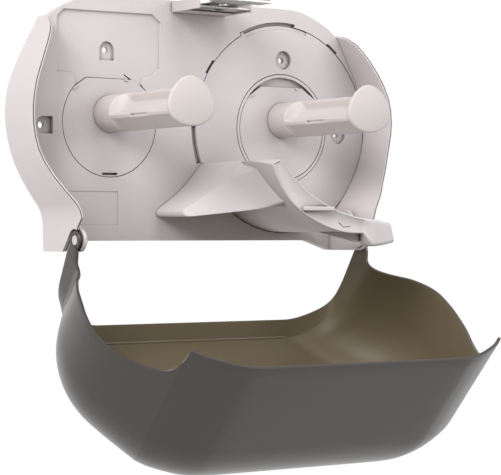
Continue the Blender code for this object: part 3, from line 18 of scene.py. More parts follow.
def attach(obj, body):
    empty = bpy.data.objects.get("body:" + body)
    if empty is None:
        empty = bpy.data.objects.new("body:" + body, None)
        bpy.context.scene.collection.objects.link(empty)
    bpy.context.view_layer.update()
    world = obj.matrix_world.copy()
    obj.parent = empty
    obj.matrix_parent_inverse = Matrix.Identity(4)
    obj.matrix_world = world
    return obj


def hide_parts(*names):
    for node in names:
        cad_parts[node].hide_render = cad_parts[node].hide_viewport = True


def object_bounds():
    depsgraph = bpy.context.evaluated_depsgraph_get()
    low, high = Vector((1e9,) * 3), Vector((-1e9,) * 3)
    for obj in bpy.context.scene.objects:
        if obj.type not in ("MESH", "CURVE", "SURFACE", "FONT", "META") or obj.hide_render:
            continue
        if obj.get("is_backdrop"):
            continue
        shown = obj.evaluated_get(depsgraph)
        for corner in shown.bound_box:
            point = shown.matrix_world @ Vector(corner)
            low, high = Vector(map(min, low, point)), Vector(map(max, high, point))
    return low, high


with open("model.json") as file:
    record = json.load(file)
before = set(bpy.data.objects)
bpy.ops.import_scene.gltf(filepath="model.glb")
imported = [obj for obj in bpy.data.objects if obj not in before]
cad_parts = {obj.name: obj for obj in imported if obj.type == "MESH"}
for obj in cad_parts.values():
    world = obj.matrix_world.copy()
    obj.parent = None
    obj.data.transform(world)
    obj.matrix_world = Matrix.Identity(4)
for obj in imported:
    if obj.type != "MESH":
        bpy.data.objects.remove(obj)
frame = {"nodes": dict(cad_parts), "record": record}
nodes = frame["nodes"]
cad_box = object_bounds()

# %% [markdown]
# ## Camera, light and floor
#
# The photograph was taken from the left and almost level with the plate's lower edge, so the camera
# looks along the horizon with a small shift. The light is a plain studio: one large soft lamp on the
# left, a weaker one on the right, one above, and an even pale world. The world and the floor show as
# white to the camera, to mirrors and through clear plastic, and light the object with far less.

# %% Camera
CAMERA_AT, CAMERA_TURN = (-0.8491, -1.2846, -0.0827), -34.73
SENSOR, FOCAL, SHIFT, CLIP_START = 36.0, 142.13, (0.0271, -0.0094), 0.05


def put(item):
    """Links an object to the scene."""
    bpy.context.scene.collection.objects.link(item)
    return item


camera_data = bpy.data.cameras.new("photo_camera")
camera_data.sensor_width, camera_data.lens = SENSOR, FOCAL
camera_data.shift_x, camera_data.shift_y = SHIFT
camera_data.clip_start = CLIP_START
camera = put(bpy.data.objects.new("photo_camera", camera_data))
camera.location = CAMERA_AT
camera.rotation_euler = (math.radians(90.0), 0.0, math.radians(CAMERA_TURN))
bpy.context.scene.camera = camera
bpy.context.scene.view_settings.view_transform = "Standard"
print("camera at", tuple(camera.location))

# %% [markdown]
# Two small classes save a lot of typing. `Value` wraps a socket, so that sums on it are written as
# plain Python and each operator adds its Math node. `Nodes` adds any other node in one call, with its
# settings and the values or links of its sockets. Materials and Geometry Nodes trees both use them.


# %% Sums on sockets
class Value:
    """A socket that takes part in plain Python sums."""

    def __init__(self, tree, socket):
        self.tree = tree
        self.socket = socket

    def apply(self, operation, one, two=0.0):
        node = self.tree.nodes.new("ShaderNodeMath")
        node.operation = operation
        for index, item in enumerate((one, two)):
            if isinstance(item, Value):
                self.tree.links.new(item.socket, node.inputs[index])
            else:
                node.inputs[index].default_value = item
        return Value(self.tree, node.outputs[0])

    def __add__(self, other):
        return self.apply("ADD", self, other)

    __radd__ = __add__

    def __sub__(self, other):
        return self.apply("SUBTRACT", self, other)

    def __rsub__(self, other):
        return self.apply("SUBTRACT", other, self)

    def __mul__(self, other):
        return self.apply("MULTIPLY", self, other)

    __rmul__ = __mul__

    def __truediv__(self, other):
        return self.apply("DIVIDE", self, other)

    def __pow__(self, other):
        return self.apply("POWER", self, other)

    def __abs__(self):
        return self.apply("ABSOLUTE", self)

    def below(self, other):
        return self.apply("LESS_THAN", self, other)

    def clamped(self):
        return self.apply("MINIMUM", self.apply("MAXIMUM", self, 0.0), 1.0)

    def eased(self):
        share = self.clamped()
        return share * share * (3.0 - 2.0 * share)


print("sums on sockets ready")


# %% Trees of nodes
class Nodes:
    """A node tree, with one method that makes any node."""

    def __init__(self, tree):
        self.tree = tree

    def node(self, kind, settings=None, **inputs):
        made = self.tree.nodes.new(kind)
        for key, value in (settings or {}).items():
            setattr(made, key, value)
        for key, value in inputs.items():
            self.join(made, key.replace("_", " "), value)
        return made

    def join(self, node, name, value):
        if isinstance(value, bpy.types.Node):
            value = value.outputs[0]
        if isinstance(value, Value):
            value = value.socket
        if isinstance(value, bpy.types.NodeSocket):
            self.tree.links.new(value, node.inputs[name])
        else:
            node.inputs[name].default_value = value

    def value(self, socket):
        return Value(self.tree, socket)

    def blend(self, share, one, two):
        """Mixes two colours, or a colour and a link."""
        mixed = self.node("ShaderNodeMix", {"data_type": "RGBA"})
        for index, item in ((0, share), (6, one), (7, two)):
            self.join(mixed, index, item)
        return mixed.outputs[2]

    def seen_as(self, seen, otherwise, share=1.0):
        """One shader for the eye, for mirrors and through clear plastic, and one for all other light."""
        rays = self.node("ShaderNodeLightPath").outputs
        direct = sum(self.value(rays[f"Is {name} Ray"]) for name in ("Camera", "Transmission", "Glossy"))
        mixed = self.node("ShaderNodeMixShader")
        for index, item in enumerate((direct.clamped() * share, otherwise, seen)):
            self.join(mixed, index, item)
        return mixed


print("node trees ready")

# %% World
WHITE = (1.0, 1.0, 1.0, 1.0)
FILL_COLOUR, FILL = (1.0, 0.985, 0.985, 1.0), 0.42
world = bpy.data.worlds.new("studio")
bpy.context.scene.world = world
world.use_nodes = True
sky = Nodes(world.node_tree)
sky.tree.nodes.clear()
fill_light = sky.node("ShaderNodeBackground", Color=FILL_COLOUR, Strength=FILL)
white_back = sky.node("ShaderNodeBackground", Color=WHITE, Strength=1.0)
sky.node("ShaderNodeOutputWorld", Surface=sky.seen_as(white_back, fill_light))
print("world light", FILL, "background", 1.0)

# %% Lamps
AIM = Vector((0.0, -0.05, -0.06))
for name, spot, size, power, colour in (
    ("left_box", (-1.6, -0.9, 0.95), (0.9, 0.9), 28.0, (1.0, 0.98, 0.975)),
    ("right_box", (1.3, -1.3, 0.5), (0.9, 0.9), 7.0, (1.0, 1.0, 1.0)),
    ("top_box", (0.0, -0.8, 1.5), (0.9, 0.7), 8.0, (1.0, 1.0, 1.0)),
):
    data = bpy.data.lights.new(name, "AREA")
    data.shape = "RECTANGLE"
    data.size, data.size_y = size
    data.energy, data.color = power, colour
    lamp = put(bpy.data.objects.new(name, data))
    lamp.location = spot
    lamp.rotation_euler = (AIM - Vector(spot)).to_track_quat("-Z", "Y").to_euler()

# %% [markdown]
# A material starts as a `Shader`. It knows the three things that all the finishes here share: a noise
# in the object's own coordinates, a colour made a little lighter or darker, and a surface whose bump
# and roughness follow a noise.


# %% Shaders
class Shader(Nodes):
    """A material's tree."""

    def __init__(self, name):
        self.material = bpy.data.materials.new(name)
        self.material.use_nodes = True
        super().__init__(self.material.node_tree)
        self.tree.nodes.clear()
        self.output = self.tree.nodes.new("ShaderNodeOutputMaterial")

    def noise(self, scale, detail, stretch=(1.0, 1.0, 1.0)):
        spot = self.node("ShaderNodeTexCoord").outputs["Object"]
        drawn = self.node("ShaderNodeMapping", Vector=spot, Scale=stretch)
        return self.node("ShaderNodeTexNoise", Vector=drawn, Scale=scale, Detail=detail).outputs["Fac"]

    def finish(self, surface):
        self.tree.links.new(surface.outputs[0], self.output.inputs["Surface"])
        return self.material

    def skin(self, tone, relief, rough, **more):
        """A surface: bump from (height, strength, distance), roughness from (driver, middle, swing)."""
        height, strength, distance = relief
        driver, middle, swing = rough
        bump = self.node("ShaderNodeBump", Strength=strength, Distance=distance, Height=height)
        uneven = self.value(driver) * swing + (middle - swing / 2)
        more.update(Base_Color=tone, Normal=bump, Roughness=uneven)
        return self.finish(self.node("ShaderNodeBsdfPrincipled", **more))


def tinted(colour, red, rest=None):
    """A colour made lighter or darker, its red by one factor and the rest by another."""
    rest = red if rest is None else rest
    return (colour[0] * red, colour[1] * rest, colour[2] * rest, 1.0)


print("shader class ready")

# %% [markdown]
# The floor is mostly white light to the camera, with a share of pale paint that still takes the
# object's shadow. The light's strength is set so that the two together come to plain white.

# %% Floor
FLOOR_HEIGHT, FLOOR_REACH, PAINT_SHARE, PAINT_LIT = -0.62, 6.0, 0.12, 0.40
floor_shader = Shader("pale_floor")
paint = floor_shader.node("ShaderNodeBsdfDiffuse", Color=(0.85, 0.85, 0.85, 1.0))
strength = (1.0 - PAINT_SHARE * PAINT_LIT) / (1.0 - PAINT_SHARE)
bright = floor_shader.node("ShaderNodeEmission", Color=WHITE, Strength=strength)
floor_mesh = bpy.data.meshes.new("floor")
corners = [
    (across * FLOOR_REACH, along * FLOOR_REACH, FLOOR_HEIGHT)
    for across, along in ((-1, -1), (1, -1), (1, 1), (-1, 1))
]
floor_mesh.from_pydata(corners, [], [(0, 1, 2, 3)])
floor_mesh.materials.append(floor_shader.finish(floor_shader.seen_as(bright, paint, 1.0 - PAINT_SHARE)))
floor = put(bpy.data.objects.new("floor", floor_mesh))
floor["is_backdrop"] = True
print("floor at", FLOOR_HEIGHT, "light", round(strength, 3))

# %% [markdown]
# ## Finishes
#
# The plate, hubs, pegs and shutter are moulded in a warm grey-white plastic. A mould leaves a fine
# even grain on such a face, and the colour drifts a little over a large part, so one function makes
# all of them: a tiny noise drives the bump, and a slow one moves colour and roughness. Shade is also
# painted into the colour: one occlusion node paints dark shade into narrow gaps and whatever is shut
# in closely, and a second, wider one paints soft shade over the hollow places, as the walls round
# them would shade them.

# %% Moulded plastic
GRAIN_SCALE, GRAIN, GRAIN_DEEP, DRIFT = 2600.0, 0.10, 0.0002, 0.04
PAINTED_CREVICE_SHADE_REACH, PAINTED_HOLLOW_SHADE_REACH = 0.0030, 0.045


def moulded_plastic(name, colour, roughness):
    shader = Shader(name)
    slow, fine = shader.noise(18.0, 3.0), shader.noise(GRAIN_SCALE, 2.0)
    # painted shade: a narrow occlusion for crevices and a wide one for hollows, both read into the colour
    painted_crevice_shade, wide = (
        shader.value(shader.node("ShaderNodeAmbientOcclusion", {"samples": 8}, Distance=reach).outputs["AO"])
        for reach in (PAINTED_CREVICE_SHADE_REACH, PAINTED_HOLLOW_SHADE_REACH)
    )
    plain = shader.blend(slow, tinted(colour, 1.0 - DRIFT), tinted(colour, 1.0 + DRIFT))
    # painted shade: the colour falls to about half where the wide occlusion finds walls round a spot
    with_painted_hollow_shade = shader.blend(wide.clamped(), tinted(colour, 0.50, 0.48), plain)
    # painted shade: spots shut in closely fall to about a tenth of the colour
    tone = shader.blend((painted_crevice_shade * 1.9 - 0.35).clamped(), tinted(colour, 0.11, 0.10), with_painted_hollow_shade)
    return shader.skin(tone, (fine, GRAIN, GRAIN_DEEP), (slow, roughness, 0.12), Specular_IOR_Level=0.42)


plate_finish = moulded_plastic("warm_white_moulding", (0.70, 0.65, 0.655), 0.52)
peg_finish = moulded_plastic("cream_moulding", (0.68, 0.625, 0.60), 0.44)
shutter_finish = moulded_plastic("shutter_moulding", (0.665, 0.63, 0.64), 0.44)
print("mouldings:", plate_finish.name, peg_finish.name, shutter_finish.name)

# %% [markdown]
# The cover is a smoked, see-through plastic with a glossy skin. Seen from outside it is a neutral
# dark grey, because the skin mirrors the white room. Inside, the room's light comes through the wall
# and picks up its brown, and that light is painted into the inner face's colour: the inner face gets a
# lighter brown of painted light, the outer face the dark grey, both a little clear.

# %% Smoked plastic
CLEAR, SMOKE_DRIFT, SMOKE_IOR = 0.05, 0.06, 1.5


def smoked_plastic(name, colour, roughness, shine):
    shader = Shader(name)
    slow, fine = shader.noise(9.0, 2.0), shader.noise(900.0, 1.0)
    tone = shader.blend(slow, tinted(colour, 1.0 - SMOKE_DRIFT), tinted(colour, 1.0 + SMOKE_DRIFT))
    more = {"IOR": SMOKE_IOR, "Specular_IOR_Level": shine, "Alpha": 1.0 - CLEAR}
    return shader.skin(tone, (fine, 0.02, 0.0002), (slow, roughness, 0.06), **more)


smoke_outside = smoked_plastic("smoked_outside", (0.048, 0.041, 0.037), 0.26, 0.5)
# painted light: the inner face's lighter brown stands for the room's light coming through the wall
smoke_inside_painted_light = smoked_plastic("smoked_inside_painted_light", (0.165, 0.130, 0.078), 0.42, 0.28)
# painted highlight: a paler brown for the fold bead, so that it shows as a light line
smoke_fold_painted_highlight = smoked_plastic("smoked_fold_painted_highlight", (0.26, 0.21, 0.15), 0.30, 0.5)
print("smoked:", smoke_outside.name, smoke_inside_painted_light.name, smoke_fold_painted_highlight.name)

# %% [markdown]
# The latch and the catch are stamped from bright sheet steel, and the screws are zinc plated. Sheet
# is rolled, so its fine scratches run one way: a noise that is stretched along X gives them.


# %% Steel
def rolled_steel(name, colour, roughness, stretch):
    shader = Shader(name)
    lines, stain = shader.noise(60.0, 4.0, stretch), shader.noise(140.0, 2.0)
    tone = shader.blend(stain, tinted(colour, 0.86), tinted(colour, 1.0))
    return shader.skin(tone, (lines, 0.12, 0.0001), (lines, roughness, 0.18), Metallic=1.0)


sheet_steel = rolled_steel("stamped_steel", (0.47, 0.455, 0.45), 0.24, (0.2, 6.0, 6.0))
zinc = rolled_steel("zinc_plating", (0.56, 0.565, 0.575), 0.34, (1.0, 1.0, 1.0))
print("steel:", sheet_steel.name, zinc.name)

# %% Dress the frame's own pieces
finishes = {
    "plate_plastic": plate_finish,
    "peg_plastic": peg_finish,
    "shutter_plastic": shutter_finish,
    "smoked_plastic": smoke_outside,
    "bright_steel": sheet_steel,
    "plated_steel": zinc,
}
slots = {part["node"]: part["material_slot"] for part in frame["record"]["subparts"]}
for name, slot in slots.items():
    nodes[name].data.materials.clear()
    nodes[name].data.materials.append(finishes[slot])
print("dressed:", len(slots))

# %% [markdown]
# ## Curves and meshes that the pieces share
#
# The plate's outline, the wings' front edge and the shutter's section were read off the photograph
# once, as shares of the real sizes. A smooth curve through such a table can be read at any point, so
# the same few numbers give a coarse solid for the engineering model and a fine surface here.

# %% Curve helpers
ROLL_SPACING = 0.160
RING_R = 0.0822
HALF_WIDTH = ROLL_SPACING / 2 + RING_R + 0.0033
TOP = RING_R + 0.0164
RIGHT_PEG = (ROLL_SPACING / 2, 0.0)
SIDES = (("left", -ROLL_SPACING / 2), ("right", ROLL_SPACING / 2))


def place(x, depth, z):
    return (x, -depth, z)


def polar(centre, radius, degrees):
    angle = math.radians(degrees)
    return (centre[0] + radius * math.cos(angle), centre[1] + radius * math.sin(angle))


def mix(a, b, share):
    return a + (b - a) * share


def clamp(value):
    return min(1.0, max(0.0, value))


def ease(share):
    share = clamp(share)
    return share * share * (3.0 - 2.0 * share)


def smooth_path(points, steps):
    """A Catmull-Rom curve through tuples of any length, steps pieces between each two."""
    path = []
    for index in range(len(points) - 1):
        spots = [points[min(max(i, 0), len(points) - 1)] for i in range(index - 1, index + 3)]
        for step in range(steps):
            t = step / steps
            path.append(
                tuple(
                    0.5 * (2 * b + (c - a) * t + (2 * a - 5 * b + 4 * c - d) * t**2)
                    + 0.5 * (3 * b - a - 3 * c + d) * t**3
                    for a, b, c, d in zip(*spots)
                )
            )
    return path + [tuple(points[-1])]


def smooth_value(table, at):
    """Reads a smooth curve through (place, value) pairs."""
    if at <= table[0][0]:
        return table[0][1]
    if at >= table[-1][0]:
        return table[-1][1]
    index = max(i for i in range(len(table) - 1) if table[i][0] <= at)
    (x0, y0), (x1, y1) = table[index], table[index + 1]
    before, after = table[max(index - 1, 0)], table[min(index + 2, len(table) - 1)]
    slope0 = (y1 - before[1]) / (x1 - before[0])
    slope1 = (after[1] - y0) / (after[0] - x0)
    t, run = (at - x0) / (x1 - x0), x1 - x0
    rise = y0 * (2 * t**3 - 3 * t**2 + 1) + y1 * (3 * t**2 - 2 * t**3)
    return rise + run * (slope0 * (t**3 - 2 * t**2 + t) + slope1 * (t**3 - t**2))


print("half width", round(HALF_WIDTH, 4), "top", round(TOP, 4))

# %% Mesh helpers
MERGE, SLIVER = 1e-6, 0.00006


def mesh_piece(name, bm, *materials):
    """Turns a bmesh into a smooth-shaded piece with its finishes."""
    mesh = bpy.data.meshes.new(name)
    bm.to_mesh(mesh)
    bm.free()
    mesh.shade_smooth()
    for material in materials:
        mesh.materials.append(material)
    return put(bpy.data.objects.new(name, mesh))


def modify(piece, kind, **settings):
    """Puts a modifier on a piece."""
    modifier = piece.modifiers.new(kind.lower(), kind)
    for key, value in settings.items():
        setattr(modifier, key, value)
    return modifier


def settle(piece):
    """Applies a piece's modifiers, so that what is left is a plain mesh."""
    graph = bpy.context.evaluated_depsgraph_get()
    graph.update()
    mesh = bpy.data.meshes.new_from_object(piece.evaluated_get(graph))
    old = piece.data
    piece.modifiers.clear()
    piece.data = mesh
    bpy.data.meshes.remove(old)
    return piece


def crisp(piece, degrees=32.0):
    """Smooth shading that stops at sharp edges."""
    piece.data.shade_smooth()
    piece.data.set_sharp_from_angle(angle=math.radians(degrees))
    return piece


def combine(piece, tool, operation):
    """One boolean with a throwaway tool."""
    modify(piece, "BOOLEAN", operation=operation, object=tool, solver="EXACT", material_mode="TRANSFER")
    settle(piece)
    bpy.data.objects.remove(tool, do_unlink=True)
    return piece


def moved_to(piece, at, turn=0.0):
    """Turns a piece about the depth axis, then moves it."""
    piece.data.transform(Matrix.Translation(at) @ Matrix.Rotation(math.radians(turn), 4, "Y"))
    return piece


print("mesh helpers ready")


# %% Solids
def outward(bm):
    """Merges doubled points and turns all faces outwards."""
    bmesh.ops.remove_doubles(bm, verts=bm.verts, dist=MERGE)
    bmesh.ops.recalc_face_normals(bm, faces=bm.faces)
    if bm.calc_volume(signed=True) < 0:
        bmesh.ops.reverse_faces(bm, faces=bm.faces)


def face_out(piece, sliver=None):
    """Merges a piece's doubled points and turns its faces outwards, and first takes out its slivers."""
    bm = bmesh.new()
    bm.from_mesh(piece.data)
    if sliver:
        bmesh.ops.dissolve_degenerate(bm, edges=bm.edges, dist=sliver)
    outward(bm)
    bm.to_mesh(piece.data)
    bm.free()
    return piece


def skin_between(bm, lines):
    """Faces from each line of points to the next."""
    for one, two in zip(lines, lines[1:]):
        for i in range(len(one) - 1):
            bm.faces.new((one[i], one[i + 1], two[i + 1], two[i]))


def loft(name, rows, finish):
    """Skins closed rows of points one to the next, and caps both ends."""
    bm = bmesh.new()
    grid = [[bm.verts.new(point) for point in row] for row in rows]
    skin_between(bm, [row + row[:1] for row in grid])
    bm.faces.new(grid[0])
    bm.faces.new(list(reversed(grid[-1])))
    outward(bm)
    return mesh_piece(name, bm, finish)


def turned(name, centre, profile, finish, axis="X", segments=64):
    """A turned solid about an axis: profile is (place along it, radius), from one end to the other."""
    spot, rows = "XYZ".index(axis), []
    for along, radius in profile:
        ring = [polar(centre, radius, 360.0 * i / segments) for i in range(segments)]
        rows.append([place(*point[:spot], along, *point[spot:]) for point in ring])
    return loft(name, rows, finish)


def rounded_block(name, low, high, radius, finish):
    bm = bmesh.new()
    bmesh.ops.create_cube(bm, size=1.0)
    for vert in bm.verts:
        vert.co = [mix(a, b, c + 0.5) for a, b, c in zip(low, high, vert.co)]
    bmesh.ops.bevel(bm, geom=bm.edges, offset=radius, segments=4, profile=0.5, affect="EDGES")
    outward(bm)
    return mesh_piece(name, bm, finish)


def ease_edges(piece, width, segments, degrees):
    """Rounds the edges that are sharper than an angle."""
    limit = {"limit_method": "ANGLE", "angle_limit": math.radians(degrees), "use_clamp_overlap": True}
    modify(piece, "BEVEL", width=width, segments=segments, **limit)
    return settle(piece)


def evened(piece):
    """Keeps the large flat faces flat in the shading, and lets their rounded edges take the turn."""
    crisp(piece, 34.0)
    modify(piece, "WEIGHTED_NORMAL", keep_sharp=True)
    return settle(piece)


def softened(name, node, width, degrees=28.0, cuts=()):
    """A copy of a frame piece whose edges are rounded as a mould or a press leaves them."""
    bm = bmesh.new()
    bm.from_mesh(nodes[node].data)
    bm.transform(nodes[node].matrix_world)
    outward(bm)
    piece = mesh_piece(name, bm, finishes[slots[node]])
    for tool in cuts:
        combine(piece, tool, "DIFFERENCE")
    face_out(piece, SLIVER)
    return evened(ease_edges(piece, width, 2, degrees))


def stands_for(piece, body, slot, *replaced):
    """Hides the frame pieces that a piece replaces and hangs it on its body; slot is not used."""
    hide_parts(*replaced)
    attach(piece, body)
    print(piece.name, "for", ", ".join(replaced), "faces", len(piece.data.polygons))
    return piece


print("solid helpers ready")

# %% [markdown]
# ## Geometry Nodes
#
# Some pieces are better told as a rule than as a mesh. A tree built here has named inputs for its
# sizes. It is put on a carrier mesh as a modifier, its inputs are set by their identifiers, and the
# result is taken off as a plain mesh, with the modifier gone.


# %% A tree that is baked
class Rule(Nodes):
    """A Geometry Nodes tree with named inputs, each given as its name and its kind."""

    def __init__(self, name, **inputs):
        super().__init__(bpy.data.node_groups.new(name, "GeometryNodeTree"))
        self.sockets = {}
        for key, kind in {"Carrier": "Geometry", **inputs, "Finish": "Material"}.items():
            label = key.replace("_", " ")
            socket = self.tree.interface.new_socket(label, in_out="INPUT", socket_type="NodeSocket" + kind)
            self.sockets[key] = socket.identifier
        self.tree.interface.new_socket("Result", in_out="OUTPUT", socket_type="NodeSocketGeometry")
        self.inlet = self.tree.nodes.new("NodeGroupInput")
        self.outlet = self.tree.nodes.new("NodeGroupOutput")

    def given(self, key):
        """The link that carries a named input."""
        return next(s for s in self.inlet.outputs if s.identifier == self.sockets[key])

    def number(self, key):
        return self.value(self.given(key))

    def end(self, geometry):
        real = self.node("GeometryNodeRealizeInstances", Geometry=geometry)
        smooth = self.node("GeometryNodeSetShadeSmooth", Geometry=real)
        painted = self.node("GeometryNodeSetMaterial", Geometry=smooth, Material=self.given("Finish"))
        self.tree.links.new(painted.outputs[0], self.outlet.inputs[0])
        print(self.tree.name, "has", len(self.tree.nodes), "nodes")

    def bake(self, name, mesh=None, **inputs):
        piece = put(bpy.data.objects.new(name, mesh or bpy.data.meshes.new(name)))
        modifier = modify(piece, "NODES", node_group=self.tree)
        for key, value in inputs.items():
            modifier[self.sockets[key]] = value
        return settle(piece)


def points_mesh(name, runs, turn=None):
    """A mesh of open lines, or of single points with one turn, for a rule to work on."""
    mesh = bpy.data.meshes.new(name)
    edges, start = [], 0
    for run in runs:
        edges += [(start + i, start + i + 1) for i in range(len(run) - 1)]
        start += len(run)
    mesh.from_pydata([point for run in runs for point in run], edges, [])
    if turn:
        for item in mesh.attributes.new("turn", "FLOAT_VECTOR", "POINT").data:
            item.vector = turn
    return mesh


print("rule class ready")

# %% Rule: a round bead along a line
bead_rule = Rule("round_bead", Radius="Float", Sides="Int")
line = bead_rule.node("GeometryNodeMeshToCurve", Mesh=bead_rule.given("Carrier"))
ring = bead_rule.node(
    "GeometryNodeCurvePrimitiveCircle", Radius=bead_rule.given("Radius"), Resolution=bead_rule.given("Sides")
)
bead_rule.end(bead_rule.node("GeometryNodeCurveToMesh", Curve=line, Profile_Curve=ring, Fill_Caps=True))

# %% Rule: one screw at each point
screw_rule = Rule("screws_on_points", Screw="Object")
pattern = screw_rule.node("GeometryNodeObjectInfo", Object=screw_rule.given("Screw")).outputs["Geometry"]
turn = screw_rule.node("GeometryNodeInputNamedAttribute", {"data_type": "FLOAT_VECTOR"}, Name="turn")
spots = screw_rule.node("GeometryNodeMeshToPoints", Mesh=screw_rule.given("Carrier"))
screw_rule.end(
    screw_rule.node("GeometryNodeInstanceOnPoints", Points=spots, Instance=pattern, Rotation=turn.outputs[0])
)

# %% [markdown]
# ## The smoked cover
#
# The real cover is one thin moulding. It could be a subdivision surface pulled into shape by hand,
# but its shape follows a rule: the plate's outline, carried forward, rounded over with one large
# radius and closed by a slightly bulging front. So rows of points are worked out for the shut cover
# and skinned. Below the crease, the side walls run down into two arms and the front into a slanted
# strip. A solidify modifier gives the wall, a bevel rounds the rim, and the whole is turned open.


# %% The cover's sizes
def sized(across, up, shares):
    """A table of shares as metres."""
    return [(one * across, two * up) for one, two in shares]


OUTLINE = sized(HALF_WIDTH, TOP, (
    (0.805, -0.979), (0.806, -0.862), (0.811, -0.731), (0.833, -0.636), (0.885, -0.517),
    (0.949, -0.329), (0.985, -0.141), (0.998, 0.060), (0.981, 0.262), (0.934, 0.454),
    (0.877, 0.638), (0.838, 0.759), (0.827, 0.786), (0.776, 0.857), (0.687, 0.933),
    (0.613, 0.977), (0.541, 0.997), (0.363, 1.0), (0.181, 1.0), (0.0, 1.0),
))
CREASE_POINT, CORNER_POINT = 2, 12
WING_DEPTH = 0.0577
WING_EDGE = sized(TOP, WING_DEPTH, (
    (-0.979, 0.728), (-0.804, 0.868), (-0.758, 0.977), (-0.699, 1.0), (-0.573, 0.938),
    (-0.411, 0.806), (-0.214, 0.718), (-0.030, 0.718), (0.130, 0.726), (0.331, 0.702),
    (0.500, 0.634), (0.649, 0.520), (0.714, 0.432), (0.759, 0.296), (0.786, 0.140),
))
HINGE = (0.0464, -0.0881)
HINGE_X = HALF_WIDTH * 0.805
OPEN_ANGLE = 130.0
CREASE_Z, STRIP_Z, SKIRT_Z = -0.0721, -0.0819, -0.0934
COVER_DEPTH, COVER_ROUND, COVER_WALL, COVER_DRAFT = 0.1395, 0.0600, 0.0022, 0.0012
COVER_GAP, WALL_GAP, RIM_ROUND, BULGE_RUN = 0.0007, 0.0006, 0.0006, 0.0850
ARM_FRONT, ARM_RISE, ARM_CLEAR, ARM_DRAFT = 0.0880, 0.0165, 0.0024, 0.0008


def rim_depth(z):
    """The shut cover's rim follows the wing's front edge, with a little air."""
    return COVER_GAP + max(smooth_value(WING_EDGE, z - COVER_GAP), smooth_value(WING_EDGE, z + COVER_GAP))


def strip_depth(z):
    """The slanted strip lies flat along the wall once the cover is open."""
    angle = math.radians(OPEN_ANGLE)
    rise = z - HINGE[1]
    return HINGE[0] + (WALL_GAP - HINGE[0] - rise * math.sin(angle)) / math.cos(angle)


def front_depth(z):
    crease = strip_depth(CREASE_Z)
    share = min(1.0, (z - CREASE_Z) / BULGE_RUN)
    return crease + (COVER_DEPTH - crease) * (1.0 - (1.0 - share) ** 2)


print("strip meets the wall line at", round(strip_depth(STRIP_Z), 4))

# %% Rows of the shut cover
FINE, RIM_STEPS, ROUND_STEPS, FRONT_STEPS = 6, 8, 22, 10


def lowered(z, shrink):
    """A height after the outline has shrunk towards the crease."""
    return CREASE_Z + (z - CREASE_Z) * (1 - shrink)


def cover_outline():
    right = smooth_path(OUTLINE, FINE)[CREASE_POINT * FINE :]
    corner = (CORNER_POINT - CREASE_POINT) * FINE
    rims = [WALL_GAP if index > corner else rim_depth(z) for index, (_, z) in enumerate(right)]
    outline = right + [(-x, z) for x, z in reversed(right[:-1])]
    return outline, rims + list(reversed(rims[:-1]))


def cover_rows():
    outline, rims = cover_outline()
    tall, straight = TOP - CREASE_Z, COVER_DEPTH - COVER_ROUND
    rows = []

    def add_row(shrink, depths):
        rows.append([(x * (1 - shrink), d, lowered(z, shrink)) for (x, z), d in zip(outline, depths)])

    for i in range(RIM_STEPS + 1):
        share = i / RIM_STEPS
        add_row(COVER_DRAFT / tall * share, [mix(rim, straight, share) for rim in rims])
    for i in range(1, ROUND_STEPS + 1):
        angle = math.pi / 2 * i / ROUND_STEPS
        shrink = (COVER_DRAFT + COVER_ROUND * (1 - math.cos(angle))) / tall
        fronts = [front_depth(lowered(z, shrink)) for _, z in outline]
        add_row(shrink, [straight + (front - straight) * math.sin(angle) for front in fronts])
    last = (COVER_DRAFT + COVER_ROUND) / tall
    reach = outline[0][0] * (1 - last) * 0.5
    for i in range(1, FRONT_STEPS + 1):
        row, share = [], i / FRONT_STEPS
        for k, (x, z) in enumerate(outline):
            height = mix(lowered(z, last), CREASE_Z, share)
            across = mix(x * (1 - last), reach * (1 - 2 * k / (len(outline) - 1)), share)
            row.append((across, front_depth(height), height))
        rows.append(row)
    return rows


def skirt_point(x, depth, share, at_rim):
    """A point below the crease: the strip at the front, the arms at the sides."""
    front = front_depth(CREASE_Z)
    forward = ease((depth - ARM_FRONT) / (front - ARM_FRONT))
    bottom = SKIRT_Z + max(0.0, depth - HINGE[0]) / (front - HINGE[0]) * ARM_RISE
    side = (depth, mix(CREASE_Z, bottom, share))
    strip_z = mix(CREASE_Z, STRIP_Z, share)
    strip = (depth - (front - strip_depth(strip_z)), strip_z)
    if at_rim and share > 0:
        edge = rim_depth(side[1])
        side = (max(edge, mix(edge, HINGE[0] + ARM_CLEAR, ease(share))), side[1])
    x -= math.copysign(ARM_DRAFT * share * (1.0 - forward), x)
    return place(x, mix(side[0], strip[0], forward), mix(side[1], strip[1], forward))


rows = cover_rows()
print("cover rows", len(rows), "of", len(rows[0]))

# %% Skin
SKIRT_STEPS = 10
skin = bmesh.new()
grid = [[skin.verts.new(place(*point)) for point in row] for row in rows]
skin_between(skin, grid)
right, left = ([(row[end], above[end], row is rows[0]) for row, above in zip(rows, grid)] for end in (0, -1))
front = [(point, above, False) for point, above in zip(rows[-1][1:-1], grid[-1][1:-1])]
columns = []
for (x, depth, _), above, at_rim in right + front + left[::-1]:
    below = [skirt_point(x, depth, s / SKIRT_STEPS, at_rim) for s in range(1, SKIRT_STEPS + 1)]
    columns.append([above] + [skin.verts.new(point) for point in below])
skin_between(skin, columns)
bmesh.ops.remove_doubles(skin, verts=skin.verts, dist=MERGE)
bmesh.ops.dissolve_degenerate(skin, edges=skin.edges, dist=MERGE)
bmesh.ops.recalc_face_normals(skin, faces=skin.faces)
if sum(face.normal.y * face.calc_area() for face in skin.faces) > 0:
    bmesh.ops.reverse_faces(skin, faces=skin.faces)
print("skin faces", len(skin.faces))

# %% Wall and rim
cover = mesh_piece("smoked_cover", skin, smoke_outside, smoke_inside_painted_light)
# the inner face takes the lighter brown of painted light
modify(cover, "SOLIDIFY", thickness=COVER_WALL, offset=-1.0, use_even_offset=True, material_offset=1)
ease_edges(cover, RIM_ROUND, 3, 38.0)
print("cover faces", len(cover.data.polygons))

